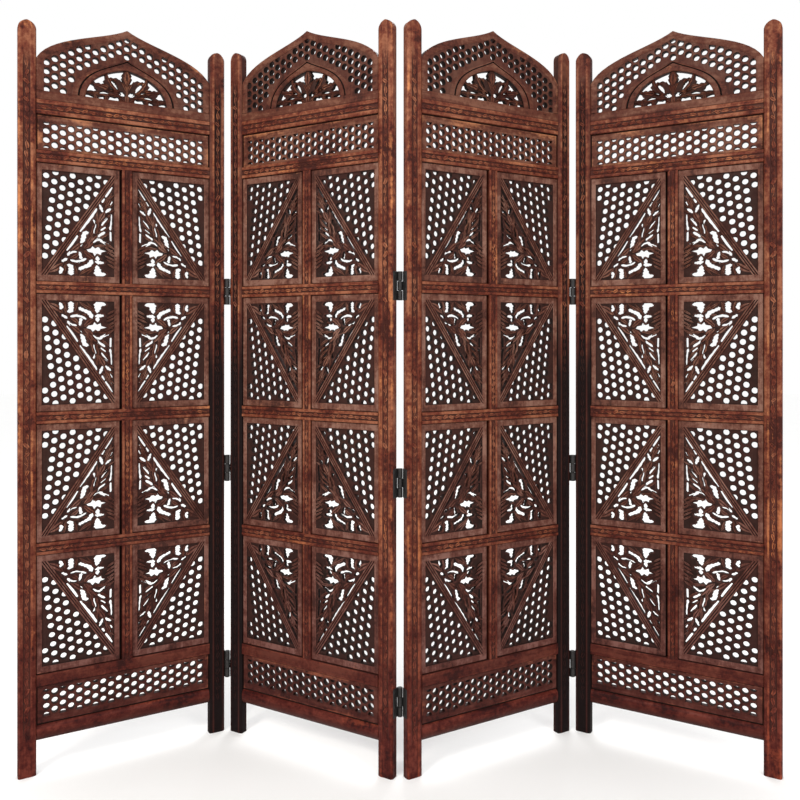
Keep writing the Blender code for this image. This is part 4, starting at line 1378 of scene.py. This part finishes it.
def ring_section(rise):
    """The cut line of the ring keeps near the eye at its feet and near the outer edge at its point."""
    cut = 0.45 - 0.33 * rise ** 1.5
    return [(0.0, 9.0, -0.4), (0.0, -8.0, -0.4), (0.04, -8.7, -0.1), (cut - 0.04, -9.0, 0.0),
            (cut - 0.02, -9.1, -0.3), (cut, -6.4, -1.0), (cut + 0.1, -6.4, -1.0),
            (cut + 0.13, -9.2, 0.0), (0.9, -9.0, 0.0), (1.0, -7.4, -0.3), (1.0, -6.0, -0.9),
            (1.0, 9.0, -0.4)]


def with_feet(line, height):
    """The same line, with its two ends brought to one height."""
    return [(line[0][0], height)] + line[1:-1] + [(line[-1][0], height)]


def carved_arch():
    carving = Carving()
    outer = arch_line()
    inner = with_feet(grow(outer, -ARCH_RIM), EYE_BASE)
    moulding(carving, outer, inner, RIM_SECTION, along="x")
    ring, eye = ring_outer(), eye_line(0.0)
    rows = [ring_section(1 - abs(k - RING_STEPS) / RING_STEPS) for k in range(2 * RING_STEPS + 1)]
    moulding(carving, ring, eye, rows, along="x")
    moulding(carving, across_leaf(ARCH_FOOT), across_leaf(EYE_BASE), FOOT_SECTION, along="x")
    board_edge = with_feet(grow(outer, UNDER_RIM - ARCH_RIM), EYE_BASE - UNDER_FOOT)
    hole = [(a[0] + (b[0] - a[0]) * UNDER_RING, a[1] + (b[1] - a[1]) * UNDER_RING)
            for a, b in zip(ring, eye)]
    hole = with_feet(hole, EYE_BASE - HOLE_UNDER_FOOT)
    board = flat_board("arch lattice", [board_edge, hole], lambda owners: owners == {0})
    pierced(carving, board, arch_wood, FINE_PITCH, 0.0, (MIDDLE, TOP_HOLE_Z), ARCH_HOLE, FINE_BEVEL,
            ARCH_ROOM, (0.0, 0.0), (1.0, 2.0), front=ARCH_FRONT, sides=FINE_SIDES)
    fan_in_the_eye(carving)
    return carving.mesh("arch", arch_wood)


# %% [markdown]
# The eye holds a fan of lobed leaves. It is easiest to draw as the real carver saws it: a
# board with gaps, half of them drawn and the other half mirrored, and leaves laid over it.
# Here u is measured to the right of the middle and v down from the top of the stiles.

# %% The fan in the eye
EYE_GAPS = [
    [(-5.0, 83), (-27, 88), (-47.5, 97.5), (-44.5, 109), (-39, 106), (-34, 108), (-26, 105.5),
     (-18.5, 110), (-13.5, 105), (-10, 101), (-12.5, 96), (-8.5, 90)],
    gap((-15.5, 106, 5), (-9.5, 117, 3)),
    [(-54.0, 103), (-68, 110), (-81, 120), (-76, 126), (-68, 124), (-63, 127), (-58, 124.5),
     (-52.0, 126), (-57.5, 118), (-53.0, 113)],
    [(-88.5, 128.5), (-94, 138), (-97, 148.0), (-87, 146), (-80, 147), (-71, 143), (-77, 139.5),
     (-79.5, 133)],
    gap((-37.5, 115, 5), (-32, 121, 8), (-27, 128, 8), (-23.5, 136, 5)),
    gap((-49.5, 135, 3.5), (-40, 137.5, 6), (-32, 142, 4)),
    gap((-65, 149.5, 4), (-55.5, 147, 6.8), (-44.5, 147.5, 3.5)),
    gap((-18.5, 142.5, 6), (-12, 144.5, 12), (-6, 147, 7)),
    gap((-100, 160.5, 6), (-92, 160.5, 6.8), (-81.5, 162.5, 4)),
    [(-71, 165.5), (-65, 159), (-56, 156.5), (-54, 166), (-60, 169)],
    [(-45.5, 165), (-39.5, 154.5), (-28, 156.5), (-21, 154.0), (-18.5, 158), (-20.5, 169),
     (-43, 169)],
]
EYE_LEAVES = [
    ((0, 166), (0, 112), 7, 0, 0), ((0, 122), (0, 85), 19, 0, 1), ((-1, 119), (-11, 97), 7, 1, 0),
    ((-2, 138), (-15, 113), 8, 2, 0), ((-14, 146), (-51, 99), 14, -4, 1),
    ((-26, 118), (-38, 108), 8, 0, 0),
    ((-22, 148), (-84, 130), 13, 4, 1), ((-44, 132), (-60, 126), 8, 0, 0),
    ((-12, 154), (-99, 154), 9, 2, 1), ((-20, 140), (-46, 142), 6, 1, 0),
    ((0, 169), (0, 143), 13, 0, 0), ((-4, 166), (-26, 150), 8, -2, 0), ((-49, 170), (-51, 153), 8, 0, 0),
    ((-76, 170), (-78, 153), 8, 0, 0),
]


def from_middle(u, v):
    return (MIDDLE / MM + u, TOP_V - v)


def fan_in_the_eye(carving):
    """The board reaches a little under the ring, and 8 mm under the foot."""
    outline = [(x / MM, z / MM) for x, z in eye_line(0.006)]
    (left, left_foot), (right, right_foot) = outline[0], outline[-1]
    outline = [(left, left_foot - 8.0)] + outline + [(right, right_foot - 8.0)]
    gaps = []
    for loop in EYE_GAPS:
        gaps.append([from_middle(u, v) for u, v in loop])
        gaps.append([from_middle(-u, v) for u, v in loop])
    sawn_board(carving, outline, gaps, -4.0, 6.5, swell=1.4, step=6.0, along="x")
    for root, tip, width, bend, teeth in EYE_LEAVES:
        for hand in ((1,) if root[0] == 0 else (1, -1)):
            carved_leaf(carving, from_middle(hand * root[0], root[1]), from_middle(hand * tip[0], tip[1]),
                        width, -4.4, 3.0, crest=3.2, bend=-hand * bend, teeth=teeth, rows=10,
                        gaps=gaps)


ARCH = carved_arch()
print("arch triangles:", triangles_in(ARCH))

# %% [markdown]
# ## Hinges
# Each fold line has three butt hinges. One half carries the outer knuckles and the pin, the
# other the middle knuckle. The plates lie against the edges of the stiles and each is held
# by countersunk screws.

# %% Sizes of a hinge
HINGE_HEIGHT = 70.0
HINGE_GAP = 14.0
PLATE = 2.2
PLATE_WIDTH = 21.0
PIN_PROUD = 1.0
KNUCKLE = 6.4
PIN = 2.4
KNUCKLE_GAP = 0.5
GLUE = 0.3
KNUCKLE_SIDES = 20
CORNER = 1.5
FIRST_SCREW = (12.5, 8.0)
HINGE_CENTRES = {"top": 1.187, "middle": 0.710, "bottom": 0.180}


def tube(carving, low, high, radius, bevel=0.6, bore=0.0):
    """An upright knuckle in mm round the pin's axis, with eased ends and perhaps a bore."""
    rings = [(low, radius - bevel, 0.1), (low + bevel, radius, 0.6), (high - bevel, radius, 0.6),
             (high, radius - bevel, 0.1)]
    if bore:
        rings += [(high, bore, -0.8), (low, bore, -0.8)]
    points, shades = [], []
    for z, r, shade in rings:
        for k in range(KNUCKLE_SIDES):
            angle = 2 * math.pi * k / KNUCKLE_SIDES
            points.append((r * math.cos(angle) * MM, r * math.sin(angle) * MM, z * MM))
            shades.append(shade)
    carving.put(points, ring_faces(len(rings), KNUCKLE_SIDES, closed=bool(bore)), shades)


# %% Plates, screws and knuckles
SCREW_INPUTS = [("Start", "shape"), ("Count", "count"), ("Spacing", "number"), ("Stagger", "number"),
                ("Head Radius", "number"), ("Slot Width", "number"), ("Finish", "finish")]


def screw_tree():
    """A column of slotted screw heads, each turned a little differently."""
    tree, wish, end = new_tree("hinge screws", SCREW_INPUTS)
    row = out(tree, "GeometryNodeMeshLine", Count=wish["Count"], Offset=vector(tree, Y=wish["Spacing"]))
    parity = math_node(tree, "MODULO", out(tree, "GeometryNodeInputIndex"), 2.0)
    spots = moved(tree, row, Offset=vector(tree, X=times(tree, parity, wish["Stagger"])))
    radius = wish["Head Radius"]
    dome = out(tree, "GeometryNodeMeshCone", {"fill_type": "NGON"}, Vertices=14, Side_Segments=1,
               Radius_Bottom=radius, Radius_Top=times(tree, radius, 0.72),
               Depth=times(tree, radius, 0.3))
    bar_size = vector(tree, X=times(tree, radius, 1.25), Y=wish["Slot Width"],
                      Z=times(tree, radius, 0.2))
    slot = moved(tree, out(tree, "GeometryNodeMeshCube", Size=bar_size),
                 Offset=vector(tree, Z=times(tree, radius, 0.3)))
    head = add(tree, "GeometryNodeMeshBoolean", {"operation": "DIFFERENCE"}, Mesh_1=dome)
    tree.links.new(slot, head.inputs["Mesh 2"])
    turn = add(tree, "FunctionNodeRandomValue", {"data_type": "FLOAT"}, i2=0.0, i3=math.pi, Seed=7)
    heads = out(tree, "GeometryNodeInstanceOnPoints", Points=spots, Instance=head.outputs[0],
                Rotation=vector(tree, Z=turn.outputs[1]))
    return finish_tree(tree, heads, wish, end)


SCREWS = screw_tree()


def hinge_half(hand, wood_side, with_pin):
    """Half a hinge in mm about its pin: hand -1 is the left leaf's, wood_side +1 has its wood behind."""
    carving = Carving()
    third = HINGE_HEIGHT / 3
    notch = math.sqrt((KNUCKLE + KNUCKLE_GAP) ** 2 - (HINGE_GAP / 2 - PLATE) ** 2)
    end = PIN_PROUD + PLATE_WIDTH
    far_side = [(end - CORNER, 0), (end, CORNER), (end, HINGE_HEIGHT - CORNER),
                (end - CORNER, HINGE_HEIGHT)]
    if with_pin:
        low, high = third - KNUCKLE_GAP, 2 * third + KNUCKLE_GAP
        outline = [(0, 0)] + far_side + [(0, HINGE_HEIGHT), (0, high), (notch, high), (notch, low),
                                         (0, low)]
        tube(carving, 0.0, low, KNUCKLE)
        tube(carving, high, HINGE_HEIGHT, KNUCKLE)
        tube(carving, low - 1.0, high + 1.0, PIN, bevel=0.2)
    else:
        low, high = third + KNUCKLE_GAP, 2 * third - KNUCKLE_GAP
        near = PIN + 1.4
        outline = [(notch, 0)] + far_side + [(notch, HINGE_HEIGHT), (notch, high), (near, high),
                                             (near, low), (notch, low)]
        tube(carving, low, high, KNUCKLE, bore=PIN + 0.6)
    wood_face = hand * (HINGE_GAP / 2 - GLUE)
    free_face = hand * (HINGE_GAP / 2 - PLATE)
    middle_y = sum(p[0] for p in outline) / len(outline)
    points, shades = [], []
    rings = [(wood_face, 0.0, -0.5), (free_face + 0.4 * hand, 0.0, 0.3), (free_face, 0.45, 0.5)]
    for x, inset, shade in rings:
        for y, z in outline:
            towards = -1 if y > middle_y else 1
            points.append((x * MM, wood_side * (y + towards * inset) * MM,
                           (z + (inset if z < HINGE_HEIGHT / 2 else -inset)) * MM))
            shades.append(shade)
    carving.put(points, ring_faces(len(rings), len(outline)), shades)
    seed = bpy.data.meshes.new("screw start")
    result = run_tree(SCREWS, seed, {"Count": 4, "Spacing": 18.0, "Stagger": 5.0, "Head Radius": 2.9,
                                     "Slot Width": 0.8, "Finish": black_iron})
    points = []
    for vertex in result.vertices:
        side, rise, proud = vertex.co
        points.append(((free_face - hand * proud * 0.9 + hand * 0.1) * MM,
                       wood_side * (FIRST_SCREW[0] + side) * MM, (FIRST_SCREW[1] + rise) * MM))
    carving.put(points, [tuple(face.vertices) for face in result.polygons], [0.4] * len(points))
    bpy.data.meshes.remove(result)
    return carving.mesh("hinge half", black_iron)


# %% [markdown]
# ## Placing the leaves
# Each leaf turns about a pin. Its own frame is found from the joints of the plain model: the
# pins of the outer lines stand at the back of the zigzag, those of the middle line in front.

# %% Each leaf's own frame
PIN_DEPTH = 0.0135
PIN_REACH = 0.007
PINS = {joint["name"]: joint["pos_m"] for joint in frame["joints"]}
centre_pin, right_pin, left_pin = PINS["centre_fold"], PINS["right_fold"], PINS["left_fold"]
slope = math.atan2(right_pin[1] - centre_pin[1], right_pin[0] - centre_pin[0])
LEAF_ANGLE = slope + math.atan2(2 * PIN_DEPTH, LEAF_WIDTH + 2 * PIN_REACH)


def leaf_matrix(pin, angle, axis_x, axis_y):
    return (Matrix.Translation((pin[0], pin[1], 0.0)) @ Matrix.Rotation(angle, 4, "Z")
            @ Matrix.Translation((-axis_x, -axis_y, 0.0)))


FAR_EDGE = LEAF_WIDTH + PIN_REACH
LEAVES = {
    1: leaf_matrix(left_pin, LEAF_ANGLE, FAR_EDGE, -PIN_DEPTH),
    2: leaf_matrix(left_pin, -LEAF_ANGLE, -PIN_REACH, -PIN_DEPTH),
    3: leaf_matrix(centre_pin, LEAF_ANGLE, -PIN_REACH, PIN_DEPTH),
    4: leaf_matrix(right_pin, -LEAF_ANGLE, -PIN_REACH, -PIN_DEPTH),
}
print("leaf angle:", round(math.degrees(LEAF_ANGLE), 2))
chance = random.Random(41)


def place(name, drawing, leaf, slot, nodes, local=Matrix.Identity(4), tint=(0.0, 0.0)):
    """A copy of a drawing in its place on a leaf, with grain of its own. The two tints make it lighter
    or darker, one in the leaf's lower half and one in its upper, and less so at its back: wear and tone
    on most pieces, and painted light and shade on the stiles."""
    mesh = drawing.copy()
    mesh.name = name
    whole = LEAVES[leaf] @ local
    depths = np.array([vertex.co.y for vertex in mesh.vertices], np.float32)
    mesh.transform(whole)
    if whole.determinant() < 0:
        mesh.flip_normals()
    count = len(mesh.vertices)
    grain = np.empty(count * 3, np.float32)
    mesh.attributes["grain"].data.foreach_get("vector", grain)
    shift = np.array([chance.uniform(-9, 9) for _ in range(3)], np.float32)
    mesh.attributes["grain"].data.foreach_set("vector", (grain.reshape(-1, 3) + shift).ravel())
    shade = np.empty(count, np.float32)
    mesh.attributes["shade"].data.foreach_get("value", shade)
    heights = np.array([vertex.co.z for vertex in mesh.vertices], np.float32)
    heights = np.clip((heights - TINT_FADE_FOOT) / (TINT_FADE_TOP - TINT_FADE_FOOT), 0.0, 1.0)
    in_front = 0.3 + 0.7 * np.clip(0.5 - depths / np.float32(2 * HALF_STILE), 0.0, 1.0)
    shade += (np.float32(tint[0]) + heights * np.float32(tint[1] - tint[0])) * in_front
    mesh.attributes["shade"].data.foreach_set("value", shade)
    piece = bpy.data.objects.new(name, mesh)
    bpy.context.scene.collection.objects.link(piece)
    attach(piece, f"leaf_{leaf}")
    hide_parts(*nodes)


# %% Where each drawing goes
def tile_place(side, foot, upside_down):
    """The drawing is the left tile's, foot at zero; the right one is its mirror, a little wider."""
    place_up = Matrix.Translation((0.0, 0.0, foot))
    if upside_down:
        place_up = Matrix.Translation((0.0, 0.0, foot + TILE_HEIGHT)) @ Matrix.Diagonal((1, 1, -1, 1))
    if side == "left":
        return place_up
    stretch = (INNER_RIGHT - MUNTIN_RIGHT) / ((TILE_RIGHT - TILE_LEFT) * MM)
    return (place_up @ Matrix.Translation((INNER_RIGHT, 0.0, 0.0)) @ Matrix.Diagonal((-stretch, 1, 1, 1))
            @ Matrix.Translation((-INNER_LEFT, 0.0, 0.0)))


# Stiles that stand forward, at the screen's ends and at the middle fold, are painted a little lighter as
# if lit; those in the back folds get painted shade for the shadow in the fold, darkest low down.
NEAR_STILE_LIT = (0.06, -0.04)
FAR_STILE_SHADED = (-1.05, -0.32)
# One to a leaf: the piece, its drawing, its slot, the solid it stands for and its tints.
ON_EACH_LEAF = [
    ("carved_arch", ARCH, "arch_wood", "arch", (-0.08, -0.08)),
    ("upper_strip", UPPER_STRIP_MESH, "arch_wood", "upper_lattice", (0.22, 0.22)),
    ("second_rail", SECOND_RAIL_MESH, "frame_wood", "upper_lattice", (0.0, 0.0)),
    ("top_rail", TOP_RAIL_MESH, "frame_wood", "upper_lattice", (0.0, 0.0)),
    ("lower_strip", LOWER_STRIP_MESH, "arch_wood", "lower_lattice", (0.0, 0.0)),
    ("foot_rail", BOTTOM_RAIL_MESH, "frame_wood", "bottom_rail", (0.0, 0.0)),
]
for leaf in LEAVES:
    own = f"leaf_{leaf}_"
    left_tint, right_tint = (NEAR_STILE_LIT, FAR_STILE_SHADED) if leaf % 2 else (FAR_STILE_SHADED, NEAR_STILE_LIT)
    place(own + "left_stile", LEFT_STILE, leaf, "frame_wood", [own + "stile_left"], tint=left_tint)
    place(own + "right_stile", RIGHT_STILE, leaf, "frame_wood", [own + "stile_right"], tint=right_tint)
    for name, drawing, slot, solid, tint in ON_EACH_LEAF:
        place(own + name, drawing, leaf, slot, [own + solid], tint=tint)
    for tier in (1, 2, 3, 4):
        node = [f"{own}tier_{tier}"]
        foot = TIER_FOOT + (4 - tier) * TIER_PITCH
        rail, tint = (LOWEST_RAIL, (-0.22, -0.22)) if tier == 4 else (TIER_RAIL, (0.0, 0.0))
        place(f"{own}rail_{tier}", rail, leaf, "frame_wood", node,
              Matrix.Translation((0.0, 0.0, foot)), tint)
        foot += RAIL_HEIGHT
        place(f"{own}muntin_{tier}", MUNTIN, leaf, "frame_wood", node,
              Matrix.Translation((0.0, 0.0, foot)))
        for side in ("left", "right"):
            place(f"{own}tile_{tier}_{side}", TILE, leaf, "tile_wood", node,
                  tile_place(side, foot, tier % 2 == 0))

# %% Placing the hinges
LINES = {"left": (1, 2, -1), "centre": (2, 3, 1), "right": (3, 4, -1)}
for line, (left_leaf, right_leaf, pin_side) in LINES.items():
    pin_half = hinge_half(-1, -pin_side, True)
    bored_half = hinge_half(1, -pin_side, False)
    for height_name, centre in HINGE_CENTRES.items():
        name = f"hinge_{line}_{height_name}_"
        foot = centre - HINGE_HEIGHT * MM / 2
        place(name + "pinned", pin_half, left_leaf, "black_iron", [name + "pin_half"],
              Matrix.Translation((FAR_EDGE, pin_side * PIN_DEPTH, foot)))
        place(name + "bored", bored_half, right_leaf, "black_iron", [name + "bored_half"],
              Matrix.Translation((-PIN_REACH, pin_side * PIN_DEPTH, foot)))

bpy.data.objects.remove(bud)
total = sum(triangles_in(o.data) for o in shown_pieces() if o.type == "MESH" and not o.hide_render)
print("triangles in all:", total)
